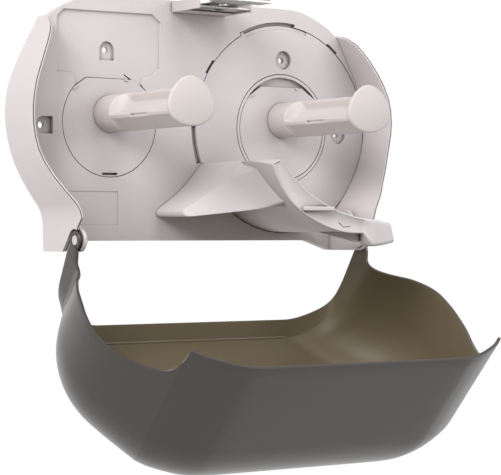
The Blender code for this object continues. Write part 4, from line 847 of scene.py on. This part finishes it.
# %% Hinge eyes
HEAD_R, HEAD_WALL, HEAD_ROUND = 0.0072, 0.0024, 0.0004
PIN_R, PIN_PLAY, HOLE_REACH = 0.0037, 0.0003, 0.006
for side in (-1, 1):
    out, back, soft = side * HINGE_X, side * (HINGE_X - HEAD_WALL), side * HEAD_ROUND
    end_r = HEAD_R - HEAD_ROUND
    rounds = [(back, end_r), (back + soft, HEAD_R), (out - soft, HEAD_R), (out, end_r)]
    combine(cover, turned("eye", HINGE, rounds, smoke_outside), "UNION")
    ends = [(side * (HINGE_X + reach), PIN_R + PIN_PLAY) for reach in (-HOLE_REACH, HOLE_REACH)]
    combine(cover, turned("hole", HINGE, ends, smoke_outside), "DIFFERENCE")
print("eyes at", round(HINGE_X, 4))

# %% [markdown]
# Inside, a fine raised line runs along the fold between the bowl and its strip. It stiffens the
# moulding, and its paler finish is a painted highlight along the fold. It follows a path, so the bead
# rule sweeps it.

# %% Fold bead, then open the cover
FOLD_R, FOLD_SUNK, FOLD_STEPS = 0.0008, 0.35, 60
inner = COVER_WALL + FOLD_R * FOLD_SUNK
fold_depth, fold_z = front_depth(CREASE_Z) - inner, CREASE_Z + inner * 0.4
reach = rows[-1][0][0] * 2.0
fold = [place(mix(-reach, reach, i / FOLD_STEPS), fold_depth, fold_z) for i in range(FOLD_STEPS + 1)]
# the bead carries the painted highlight's finish into the cover
bead = bead_rule.bake("fold", points_mesh("fold", [fold]), Radius=FOLD_R, Sides=10, Finish=smoke_fold_painted_highlight)
combine(cover, bead, "UNION")
pivot = Matrix.Translation(place(0.0, *HINGE))
swing = pivot @ Matrix.Rotation(math.radians(OPEN_ANGLE), 4, "X") @ pivot.inverted()
cover.data.transform(swing)
crisp(cover, 36.0)
stands_for(cover, "lid", "smoked_plastic", "cover")

# %% [markdown]
# ## The turning shutter
#
# The shutter is a curved cradle round the right roll, with a wing on its left that a hand pushes, a
# soft dished flange in front and a thumb tab at its end. The wing is one constant section, cut off in
# front by a plane: the crease read off the photograph at fourteen places lies on one. A sculpt would
# not keep to that, so each angle round the peg has one closed section, and these are skinned.

# %% The shutter's tables
WING = (
    (-0.946, -0.359, 200.8), (-0.993, -0.411, 202.1), (-1.047, -0.474, 203.6), (-1.117, -0.550, 205.5),
    (-1.214, -0.635, 207.9), (-1.337, -0.723, 210.7), (-1.418, -0.779, 212.5), (-1.446, -0.820, 213.5),
    (-1.422, -0.859, 214.3), (-1.308, -0.849, 216.4), (-1.141, -0.828, 219.5), (-0.976, -0.805, 222.6),
    (-0.820, -0.777, 225.6), (-0.690, -0.765, 228.0),
)
FACE_AT, FACE_PER_X, FACE_PER_Z = 0.1060, 0.0618, -0.0349
FILLET_REACH, FILLET_RISE, FILLET_EASE = 0.3000, 0.0170, 0.25
FLARE = [(200.0, 0.126), (219.0, 0.126), (228.0, 0.103), (240.0, 0.066), (252.0, 0.040), (272.0, 0.0)]
FLANGE = [
    (199.5, 1.010, 1.095), (204.5, 0.988, 1.104), (213.0, 0.950, 1.110), (226.0, 0.902, 1.095),
    (236.5, 0.876, 1.070), (247.0, 0.864, 1.048), (260.0, 0.862, 1.024), (275.0, 0.890, 1.010),
    (284.6, 0.940, 1.030),
]
FLANGE_INNER, FLANGE_OUTER = ([(row[0], row[index]) for row in FLANGE] for index in (1, 2))
SHUTTER_FRONT, SHUTTER_WALL, SHUTTER_BACK = 0.1150, 0.0026, 0.0075
LIP, LIP_ROUND, DISH, THROAT, THROAT_LEAST = 0.0026, 0.0008, 0.0016, 0.0050, 0.0012
KEEL_BACK, CREASE_ROUND, FLANGE_ROUND = 0.0610, 0.0018, 0.0010
THUMB = {"from": 267.8, "over": 4.6, "outer": 1.131, "back": 0.1040, "front": 0.1200, "round": 0.0024}

stations = smooth_path(WING, 8)
print("wing stations", len(stations))


# %% Sides of the shutter
def cradle_radius(degrees, depth):
    flared = max(0.0, (depth - KEEL_BACK) / (SHUTTER_FRONT - KEEL_BACK)) ** 2
    return RING_R * (1.0 + smooth_value(FLARE, degrees) * flared)


def face_depth(x, z, rise):
    """The wing's front, a flat cut with a fillet up to the cradle. x and z are in ring radii."""
    near = clamp(1.0 - (math.hypot(x, z) - 1.0) / FILLET_REACH)
    return FACE_AT + FACE_PER_X * x + FACE_PER_Z * z + rise * near * near


def wing_side(station, back):
    """The outer side where the wing is: forward, round the crease, along the cut, and on to the lip."""
    x, z, angle = station
    rise = FILLET_RISE * ease((math.hypot(x, z) - 1.0) / FILLET_EASE)
    crease = end = face_depth(x, z, rise)

    def cradle(depth):
        return polar((0.0, 0.0), cradle_radius(angle, depth) / RING_R, angle)

    for _ in range(6):
        far = cradle(end)
        end = face_depth(*far, rise)
    soft = min(0.45, CREASE_ROUND / (RING_R * math.dist((x, z), far)))

    def face(share):
        across, up = mix(x, far[0], share), mix(z, far[1], share)
        return across, face_depth(across, up, rise), up

    below = crease - CREASE_ROUND
    side = [(x, mix(SHUTTER_BACK, below, i / 20), z) for i in range(21)]
    for i in range(1, 8):
        one, two = (x, mix(below, crease, i / 8), z), face(soft * i / 8)
        side.append(tuple(mix(a, b, i / 8) for a, b in zip(one, two)))
    side += [face(mix(soft, 1.0, i / 20)) for i in range(21)]
    for i in range(1, 9):
        depth = mix(end, back, i / 8)
        across, up = cradle(depth)
        side.append((across, depth, up))
    return [place(RIGHT_PEG[0] + RING_R * a, d, RIGHT_PEG[1] + RING_R * b) for a, d, b in side]


print("the cut's depth at the peg", FACE_AT)


# %% Sections of the shutter
def section(angle, crease, end, station=None):
    """One closed section: out along the outer side, round the lip, over the dish, and back inside."""
    tab = ease((angle - THUMB["from"]) / THUMB["over"])
    inner_r = RING_R * smooth_value(FLANGE_INNER, angle)
    outer_r = RING_R * mix(smooth_value(FLANGE_OUTER, angle), THUMB["outer"], tab)
    front = mix(SHUTTER_FRONT, THUMB["front"], tab)
    back = mix(SHUTTER_FRONT - LIP, THUMB["back"], tab)
    corner = mix(FLANGE_ROUND, THUMB["round"], tab)
    wall_r = RING_R - SHUTTER_WALL
    outer_r = max(outer_r, cradle_radius(angle, back) + corner * 0.4)
    lip = back - LIP_ROUND
    points = [] if station is None else wing_side(station, lip)

    def add(radius, depth):
        x, z = polar(RIGHT_PEG, radius, angle)
        points.append(place(x, depth, z))

    def quarter(one, two, steps, first, depth_leads):
        """A quarter round between two places, each a (radius, depth)."""
        for i in range(first, steps + 1):
            turn = math.pi / 2 * i / steps
            shares = 1 - math.cos(turn), math.sin(turn)
            add(*(mix(a, b, s) for a, b, s in zip(one, two, shares if depth_leads else shares[::-1])))

    stops = [(0, SHUTTER_BACK), (20, crease - CREASE_ROUND), (28, crease), (48, end), (56, lip)]
    for i in range(len(points), 57):
        (low, low_depth), (high, high_depth) = next(p for p in zip(stops, stops[1:]) if i <= p[1][0])
        depth = mix(low_depth, high_depth, (i - low) / (high - low))
        add(cradle_radius(angle, depth), depth)
    quarter((cradle_radius(angle, back), lip), (outer_r - corner, back), 6, 1, True)
    quarter((outer_r - corner, back), (outer_r, back + corner), 5, 1, False)
    quarter((outer_r, front - corner), (outer_r - corner, front), 5, 0, True)
    for i in range(1, 13):
        sunk = DISH * (1 - tab) * math.sin(math.pi * i / 13) ** 0.7
        add(mix(outer_r - corner, inner_r + corner, i / 13), front - sunk)
    quarter((inner_r + corner, front), (inner_r, front - corner), 5, 0, False)
    low = mix(front - LIP * 0.6, back, tab)
    foot = low - THROAT * (1 - tab) - THROAT_LEAST
    for i in range(1, 7):
        add(mix(inner_r, wall_r, ease(i / 6)), mix(low, foot, i / 6))
    for i in range(1, 15):
        add(wall_r, mix(foot, SHUTTER_BACK, i / 14))
    return points


# each span: the angle and the depths of crease and cut at its two ends, and its steps
SPANS = (
    ((228.0, 0.090, 0.092), (268.0, 0.060, 0.082), 24),
    ((268.0, 0.060, 0.082), (284.6, 0.060, 0.082), 42),
)
sections = [section(station[2], 0.0, 0.0, station) for station in stations]
for one, two, count in SPANS:
    for i in range(1, count + 1):
        sections.append(section(*(mix(a, b, i / count) for a, b in zip(one, two))))
print("sections", len(sections), "of", len(sections[0]))

# %% Round the end face of the wing
EDGE_ROUND, MIDDLE_POINT = 0.0009, 70


def round_end(sections, radius):
    """Draws the first sections in towards their middle line, so that the end face has a round edge.
    A section's middle point, which lies on the dish, tells which way the sections run."""
    travel = [0.0] * len(sections[0])
    rounded = []
    for index, points in enumerate(sections):
        if index:
            travel = [t + math.dist(p, q) for t, p, q in zip(travel, sections[index - 1], points)]
        if min(travel) > radius:
            return rounded + sections[index:]
        count, drawn = len(points), []
        heading = Vector(sections[index + 1][MIDDLE_POINT]) - Vector(points[MIDDLE_POINT])
        for i, point in enumerate(points):
            along = Vector(points[(i + 1) % count]) - Vector(points[i - 1])
            side = along.cross(heading).normalized()
            left = max(0.0, radius - travel[i])
            drawn.append(tuple(Vector(point) + side * (radius - math.sqrt(max(0.0, radius**2 - left**2)))))
        rounded.append(drawn)


tight = round_end(sections, EDGE_ROUND)
for title, points in (("sharp", sections[0]), ("rounded", tight[0])):
    print(title, "end section:", round(1000 * sum(map(math.dist, points, points[1:])), 1), "mm round")

# %% Skin the shutter, add its keel and its ledge
KEEL_LEFT, KEEL_RIGHT, KEEL_FRONT, KEEL_ROUND = 0.0750, 0.0876, 0.1060, 0.0012
KEEL_DROP, KEEL_RUN, KEEL_SUNK = 0.0072, 0.0144, 0.0006
LEDGE_LEFT, LEDGE_RIGHT = (RIGHT_PEG[0] - RING_R * share for share in (0.7238, 0.3832))
LEDGE_TOP, LEDGE_THICK, LEDGE_ROUND = -RING_R * 0.7689, 0.0032, 0.0007
LEDGE_FRONT, LEDGE_BACK = 0.1180, 0.1125
shutter = loft("shutter_cradle", tight, shutter_finish)
low = place(KEEL_LEFT, KEEL_FRONT, -RING_R - KEEL_DROP)
high = place(KEEL_RIGHT, KEEL_BACK, -RING_R + SHUTTER_WALL / 2)
keel = rounded_block("keel", low, high, KEEL_ROUND, shutter_finish)
for vert in keel.data.vertices:
    rise = clamp((-vert.co.y - KEEL_BACK) / KEEL_RUN)
    if vert.co.z < -RING_R:
        vert.co.z = mix(-RING_R + KEEL_SUNK, vert.co.z, rise)
combine(shutter, keel, "UNION")
low = place(LEDGE_LEFT, LEDGE_FRONT, LEDGE_TOP - LEDGE_THICK)
high = place(LEDGE_RIGHT, LEDGE_BACK, LEDGE_TOP)
combine(shutter, rounded_block("ledge", low, high, LEDGE_ROUND, shutter_finish), "UNION")
print("shutter faces", len(shutter.data.polygons))

# %% [markdown]
# A small arrow is pressed into the flange beside the thumb tab, to show which way the shutter turns.
# It is two short grooves, cut with two thin bars.

# %% Arrow
ARROW_DEPTH, ARROW_CUT_FROM = 0.0024, 0.1195
ARROW = (
    ((0.0552, -0.0750), (0.0600, -0.0790), 0.0007),
    ((0.0602, -0.0784), (0.0658, -0.0780), 0.0006),
)
for one, two, width in ARROW:
    along = Vector((two[0] - one[0], two[1] - one[1]))
    side = Vector((-along.y, along.x)).normalized() * width / 2
    flat = [Vector(one) + side, Vector(two) + side, Vector(two) - side, Vector(one) - side]
    bar = [[place(x, depth, z) for x, z in flat] for depth in (ARROW_CUT_FROM, SHUTTER_FRONT - ARROW_DEPTH)]
    combine(shutter, loft("groove", bar, shutter_finish), "DIFFERENCE")
crisp(shutter, 38.0)
stands_for(shutter, "shutter", "shutter_plastic", "shutter_paddle")

# %% [markdown]
# ## The roll pegs
#
# Each peg is a tube at its root. Then its sides are scooped out, which leaves four ribs, and its end
# carries an egg-shaped cap that stops the roll from sliding off. The tube's radius is a plain function
# of the angle and of the depth, so Geometry Nodes shape it: a fine cylinder goes in, and every point
# is set to the radius that the rule gives at its angle and its share of the length.

# %% Peg sizes
PEG_R, PEG_FRONT, CAP_THICK, PEG_RISE = 0.0140, 0.1200, 0.0032, 0.0068
SCOOP_START, SCOOP_RUN, CORE_R, LOWER_CORE_R = 0.0290, 0.0110, 0.0052, 0.0120
NICK_START, NICK_END, NICK_DEPTH = 0.0570, 0.0840, 0.0012
CAP_WIDTH, CAP_UP, CAP_DOWN = 0.0395, 0.0218, 0.0142
PEG_ROOT, CAP_BACK = 0.0075, PEG_FRONT - CAP_THICK
RIGHT_RIB, TOP_RIB, LEFT_RIB, LOW_RIB = -16.0, 90.0, 196.0, 270.0
UPPER_ARC, LOWER_ARC = TOP_RIB - RIGHT_RIB, LOW_RIB - LEFT_RIB
RIB_FROM, RIB_SOFT, RIB_SPREAD, NICK_REACH, CAP_BLEND = 0.82, 0.14, 2.12, 7.0, 0.0040
LATE_SHARE, LOWER_RUN = 1.1, 0.55
print("peg", PEG_R, "cap", CAP_WIDTH)

# %% Rule: the scooped peg
PEG_INPUTS = ("Radius", "Root", "Length", "Scoop_start", "Scoop_run", "Core", "Lower_core", "Nick")
peg_rule = Rule("scooped_peg", **dict.fromkeys(PEG_INPUTS, "Float"), Rings="Int")
tube_r, root, length, scoop_start, scoop_run, *rest = map(peg_rule.number, PEG_INPUTS)
upper_core, lower_core, nick_depth = rest
rings = peg_rule.given("Rings")
tube = peg_rule.node("GeometryNodeMeshCylinder", Vertices=180, Side_Segments=rings, Radius=1.0, Depth=1.0)
split = peg_rule.node("ShaderNodeSeparateXYZ", Vector=peg_rule.node("GeometryNodeInputPosition"))
unit_x, unit_z, unit_y = (peg_rule.value(socket) for socket in split.outputs)
turned_by = unit_x.apply("ARCTAN2", unit_z, unit_x) * math.degrees(1.0)
degrees = turned_by + turned_by.below(RIGHT_RIB - 0.5) * 360.0
depth = root + (unit_y + 0.5) * length

# which rib the angle lies after, and how far it is to the next
upper = degrees.below(LEFT_RIB - 0.5)
lower = 1.0 - upper
left = 1.0 - degrees.below(TOP_RIB + 0.5)
last = 1.0 - degrees.below(LOW_RIB + 0.5)
from_rib = upper * (degrees - RIGHT_RIB - left * UPPER_ARC) + lower * (degrees - LEFT_RIB - last * LOWER_ARC)
arc = upper * (UPPER_ARC - LOWER_ARC) + LOWER_ARC
share = (from_rib / arc).clamped()
away = (abs(share - 0.5) * RIB_SPREAD).clamped()
print("rule so far:", len(peg_rule.tree.nodes), "nodes")

# %% The rule's radius
toward_top = left * (1.0 - share) + (1.0 - left) * share
late = 1.0 - ((1.0 - toward_top * toward_top).clamped()) ** 0.5
start = scoop_start + upper * late * scoop_run * LATE_SHARE
still = 1.0 - ((depth - start) / (scoop_run * (LOWER_RUN + (1.0 - LOWER_RUN) * upper))).clamped()
opened = 1.0 - still * still
closing = ((root + length - depth) / CAP_BLEND).eased()
off_middle = (share - 0.5) * arc * math.radians(1.0)
floor = (upper * upper_core + lower * lower_core) / off_middle.apply("COSINE", off_middle)
wall = 1.0 - ((away - RIB_FROM) / RIB_SOFT).eased()
hollow = wall * (tube_r - floor) * opened * closing
nicked_ribs = (LEFT_RIB, RIGHT_RIB + 360.0, RIGHT_RIB)
near_rib = sum((1.0 - abs(degrees - rib) / NICK_REACH).clamped() for rib in nicked_ribs).clamped()

# a long shallow nick, and a short deeper step at its start
nick = ((depth - NICK_START) / 0.0016).eased() * ((NICK_END - depth) / 0.0070).eased()
step = ((depth - NICK_START) / 0.0012).eased() * ((NICK_START + 0.0045 - depth) / 0.0024).eased()
nick = nick + 0.7 * step
radius = tube_r - hollow - nick * near_rib * nick_depth
angle = degrees * math.radians(1.0)
flat_x, flat_z = (radius * angle.apply(wave, angle) for wave in ("COSINE", "SINE"))
moved = peg_rule.node("ShaderNodeCombineXYZ", X=flat_x, Y=depth * -1.0, Z=flat_z)
peg_rule.end(peg_rule.node("GeometryNodeSetPosition", Geometry=tube.outputs["Mesh"], Position=moved))

# %% Caps and both pegs
EGG_POWER, SPIGOT_R = 2 / 1.75, 0.0090
CAP_PROFILE = (
    (CAP_BACK - 0.0005, -0.0016), (CAP_BACK + 0.0001, -0.0006), (CAP_BACK + 0.0007, 0.0),
    (PEG_FRONT - 0.0014, 0.0), (PEG_FRONT - 0.0008, -0.0002), (PEG_FRONT - 0.0003, -0.0007), (PEG_FRONT, -0.0015),
)


def cap_point(degrees, grow):
    """A point of the cap's egg, grown by a distance."""
    wave = polar((0.0, 0.0), 1.0, degrees)
    height, power = (CAP_UP, EGG_POWER) if wave[1] > 0 else (CAP_DOWN, 1.0)
    across, rise = (math.copysign(abs(value) ** power, value) for value in wave)
    return ((CAP_WIDTH / 2 + grow) * across, (height + grow) * rise)


for side, x in SIDES:
    peg = peg_rule.bake(
        side + "_peg_moulding", Radius=PEG_R, Root=PEG_ROOT, Length=CAP_BACK - PEG_ROOT, Scoop_start=SCOOP_START,
        Scoop_run=SCOOP_RUN, Core=CORE_R, Lower_core=LOWER_CORE_R, Nick=NICK_DEPTH, Rings=160, Finish=peg_finish,
    )
    face_out(peg)
    eggs = [(at, [cap_point(2.5 * i, grow) for i in range(144)]) for at, grow in CAP_PROFILE]
    cap = [[place(across, at, rise) for across, rise in egg] for at, egg in eggs]
    combine(peg, loft("cap", cap, peg_finish), "UNION")
    spigot = [(0.0045, SPIGOT_R), (0.0085, SPIGOT_R)]
    combine(peg, turned("spigot", (0.0, 0.0), spigot, peg_finish, "Y", 48), "UNION")
    crisp(moved_to(peg, (x, 0.0, PEG_RISE)), 62.0)
    stands_for(peg, "base", "peg_plastic", side + "_peg")

# %% [markdown]
# ## The back plate
#
# The plate is one moulding: a shallow tray with a side wall at each end, a sunk panel and the screw
# pockets. The frame's piece already has that shape, with sharp edges. It could be modelled again, but
# a copy with rounded edges keeps it exact. A mould leaves two more things that show: a fine groove
# along each side wall's front edge, where the shut cover's rim seals, and a crisp step at the panel.

# %% Cutters for the plate
GROOVE_INSET, GROOVE_WIDTH, GROOVE_DEPTH, GROOVE_ABOVE = 0.00045, 0.00075, 0.0018, 0.004
PANEL_FLOOR, PANEL_CUT_TO, PANEL_SLOPE = 0.0056, 0.0090, 0.0013
PANEL = sized(HALF_WIDTH, TOP, (
    (-0.754, 0.792), (-0.723, 0.843), (-0.255, 0.848), (-0.211, 0.789), (-0.216, 0.435),
    (-0.251, 0.383), (-0.300, 0.356), (-0.316, 0.309), (-0.300, 0.255), (-0.480, 0.180),
    (-0.660, 0.255), (-0.670, 0.375), (-0.754, 0.375),
))


def rim_groove(side):
    """A thin closed strip that follows a side wall's front edge, just inside its outer face."""
    path = smooth_path(OUTLINE, 2)[1:24]
    near, far = GROOVE_INSET, GROOVE_INSET + GROOVE_WIDTH
    rows = []
    for i, (x, z) in enumerate(path):
        before, after = path[max(i - 1, 0)], path[min(i + 1, len(path) - 1)]
        along = Vector((after[0] - before[0], after[1] - before[1])).normalized()
        row, edge = [], smooth_value(WING_EDGE, z)
        for off, rise in ((near, -GROOVE_DEPTH), (near, GROOVE_ABOVE), (far, GROOVE_ABOVE), (far, -GROOVE_DEPTH)):
            row.append(place(side * (x - along.y * off), edge + rise, z + along.x * off))
        rows.append(row)
    return loft("groove", rows, plate_finish)


def grown(points, distance):
    """A closed outline, run clockwise, moved outwards."""
    moved = []
    for i, point in enumerate(points):
        here, before, after = Vector(point), Vector(points[i - 1]), Vector(points[(i + 1) % len(points)])
        one, two = (here - before).normalized(), (after - here).normalized()
        normal = Vector((-one.y - two.y, one.x + two.x))
        moved.append(here + normal * (2 * distance / normal.length_squared))
    return moved


print("panel corners", len(PANEL))

# %% Back plate
CLIP_AT, CLIP_TURN, PLATE_ROUND = (-0.0632, -0.0090, 0.0347), 32.0, 0.00035
cutters = [rim_groove(side) for side in (-1, 1)]
wide = grown(PANEL, PANEL_SLOPE)
walls = [[place(x, at, z) for x, z in points] for at, points in ((PANEL_FLOOR, PANEL), (PANEL_CUT_TO, wide))]
cutters.append(loft("sunk", walls, plate_finish))
clip_slot = rounded_block("clip", (-0.0042, 0.0, -0.0004), (0.0042, 0.0060, 0.0006), 0.0001, plate_finish)
cutters.append(moved_to(clip_slot, CLIP_AT, CLIP_TURN))
back_plate = softened("plate_moulding", "back_plate", PLATE_ROUND, 26.0, cutters)
stands_for(back_plate, "base", "plate_plastic", "back_plate")

# %% [markdown]
# ## The hubs and the ring
#
# Each peg stands on a flat hub disc that snaps into the plate from the front. Two small latching
# ridges at its corners hold it. The right hub lies inside the ring that turns with the shutter. Plain
# discs would do for the shape, but the ring's slots, notches and lugs come from the frame's piece, so
# again a copy gets the rounded edges.

# %% Hubs and ring
MOULD_ROUND, RIDGE_AT = 0.0003, -0.0074

# each ridge: its turn, its place from the hub's middle, and half its length
RIDGES = ((-34.0, -0.0296, 0.0258, 0.0026), (12.0, 0.0142, 0.0326, 0.0014))
for side, x in SIDES:
    hub = softened(side + "_hub_disc", side + "_hub", MOULD_ROUND)
    for turn, across, height, half in RIDGES:
        ridge = rounded_block("ridge", (-half, -0.0006, -0.0008), (half, 0.0006, 0.0008), 0.0003, peg_finish)
        combine(hub, moved_to(ridge, (x + across, RIDGE_AT, height), turn), "UNION")
    evened(hub)
    stands_for(hub, "base", "plate_plastic", side + "_hub")
ring = softened("shutter_ring_disc", "shutter_ring", MOULD_ROUND)
stands_for(ring, "shutter", "shutter_plastic", "shutter_ring")

# %% [markdown]
# ## The latch, the catch and the hinge plugs
#
# The latch is a moulded housing with a bent steel channel in it, and a steel tongue on a pin. Pressed
# sheet has a small radius at each bend and a rounded burr-free edge, so these are rounded a little
# less than the plastic.

# %% Latch, catch, plugs and pin
SHEET_ROUND = 0.00018
for name, node, body, slot, width in (
    ("latch_housing_moulding", "latch_housing", "base", "plate_plastic", PLATE_ROUND),
    ("latch_frame_sheet", "latch_frame", "base", "bright_steel", SHEET_ROUND),
    ("latch_bolt_sheet", "latch_bolt", "bolt", "bright_steel", SHEET_ROUND),
    ("cover_catch_sheet", "cover_catch", "lid", "bright_steel", SHEET_ROUND),
    ("left_hinge_plug", "left_hinge_pin", "base", "peg_plastic", MOULD_ROUND),
    ("right_hinge_plug", "right_hinge_pin", "base", "peg_plastic", MOULD_ROUND),
):
    stands_for(softened(name, node, width), body, slot, node)
PIVOT, PIVOT_REACH, PIVOT_R, PIVOT_ROUND = (0.0200, 0.0912), 0.0229, 0.0010, 0.0002
half = [(PIVOT_REACH, PIVOT_R - PIVOT_ROUND), (PIVOT_REACH - PIVOT_ROUND, PIVOT_R)]
pin_ends = [(-along, radius) for along, radius in half] + half[::-1]
pivot_pin = crisp(turned("latch_pivot", PIVOT, pin_ends, zinc, "X", 48))
stands_for(pivot_pin, "base", "plated_steel", "latch_pin")

# %% [markdown]
# ## Screws and spring
#
# There are three pairs of screws: two hold the pegs from behind, two hold the latch, and two hold the
# catch. Each kind is modelled once as a pattern, with a thread that is a row of turned ridges and a
# hexagon in its head. The pattern is then set on marked points by Geometry Nodes, so moving a screw
# means moving one point. The catch's screws are set for the shut cover and then turned open with it.


# %% A screw pattern
def screw_pattern(head_r, head, shank_r, length, pitch, socket_r, socket):
    """Stands on its head at the origin, with its shank along +Z."""
    rim, end = min(0.0003, head * 0.3), head + length
    profile = [(0.0, head_r - rim * 1.6), (rim * 0.4, head_r - rim * 0.5), (rim, head_r)]
    profile += [(head - rim * 0.4, head_r), (head, head_r - rim * 0.4)]
    profile += [(head, shank_r * 0.86), (head + pitch, shank_r * 0.86)]
    along = head + pitch
    while along + pitch < end - shank_r:
        profile += [(along + pitch * step, shank_r * part) for step, part in ((0.35, 1), (0.5, 1), (0.95, 0.82))]
        along += pitch
    profile += [(end - shank_r * 0.4, shank_r * 0.70), (end, shank_r * 0.35)]
    screw = turned("screw_pattern", (0.0, 0.0), profile, zinc, "Z", 40)
    recess = turned("recess", (0.0, 0.0), [(-0.001, socket_r), (socket, socket_r * 0.94)], zinc, "Z", 6)
    return crisp(combine(screw, recess, "DIFFERENCE"), 40.0)


print("pattern ready")

# %% Three pairs of screws
shut = swing.inverted() @ nodes["left_catch_screw"].matrix_world
lowest = min((shut @ vert.co).z for vert in nodes["left_catch_screw"].data.vertices)
upright = math.radians(90.0)

# head's radius and height, shank's radius and length, pitch, socket's radius and depth
SCREWS = {
    "peg": (0.0050, 0.0024, 0.0022, 0.020, 0.0013, 0.0018, 0.0012),
    "latch": (0.0024, 0.0018, 0.0014, 0.0075, 0.0009, 0.0010, 0.0009),
    "catch": (0.0022, 0.0008, 0.0010, 0.0032, 0.0006, 0.0009, 0.0004),
}
for kind, body, (x, depth, z), turn in (
    ("peg", "base", (ROLL_SPACING / 2, 0.0015, PEG_RISE), upright),
    ("latch", "base", (0.0165, 0.0126, 0.0916), -upright),
    ("catch", "lid", (0.0150, 0.0618, lowest), 0.0),
):
    name, pattern = kind + "_screws", screw_pattern(*SCREWS[kind])
    points = points_mesh(name, [[place(side * x, depth, z)] for side in (-1, 1)], (turn, 0.0, 0.0))
    screws = crisp(face_out(screw_rule.bake(name, points, Screw=pattern, Finish=zinc)), 40.0)
    bpy.data.objects.remove(pattern, do_unlink=True)
    if body == "lid":
        screws.data.transform(swing)
    stands_for(screws, body, "plated_steel", f"left_{kind}_screw", f"right_{kind}_screw")

# %% [markdown]
# The latch's spring is a wire wound five times round the pin, with a leg under the tongue and one on
# the channel's floor. A helix is a line with a rule, so its points are worked out and the bead rule
# sweeps the wire along them.

# %% Torsion spring
WIRE, SPRING_R, SPRING_TURNS, PER_TURN = 0.0006, 0.0020, 5, 40
SPRING_PITCH, TONGUE_LEG, FLOOR_LEG = WIRE * 1.25, 0.0100, 0.0050
width, coil_r, count = SPRING_PITCH * SPRING_TURNS, SPRING_R - WIRE / 2, SPRING_TURNS * PER_TURN
low = PIVOT[1] - coil_r
coil = [place(-width / 2, PIVOT[0] + TONGUE_LEG, low)]
for i in range(count + 1):
    depth, z = polar(PIVOT, coil_r, -90.0 + 360.0 * i / PER_TURN)
    coil.append(place(mix(-width / 2, width / 2, i / count), depth, z))
coil.append(place(width / 2, PIVOT[0] - FLOOR_LEG, low))
spring = bead_rule.bake("torsion_spring", points_mesh("spring", [coil]), Radius=WIRE / 2, Sides=12, Finish=zinc)
crisp(face_out(spring), 50.0)
stands_for(spring, "base", "plated_steel", "latch_spring")

shown_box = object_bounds()


def plain(box):
    return [[float(value) for value in corner] for corner in box]


for low_high in zip(plain(cad_box), plain(shown_box)):
    print("cad and shown:", [[round(1000 * v, 1) for v in corner] for corner in low_high])
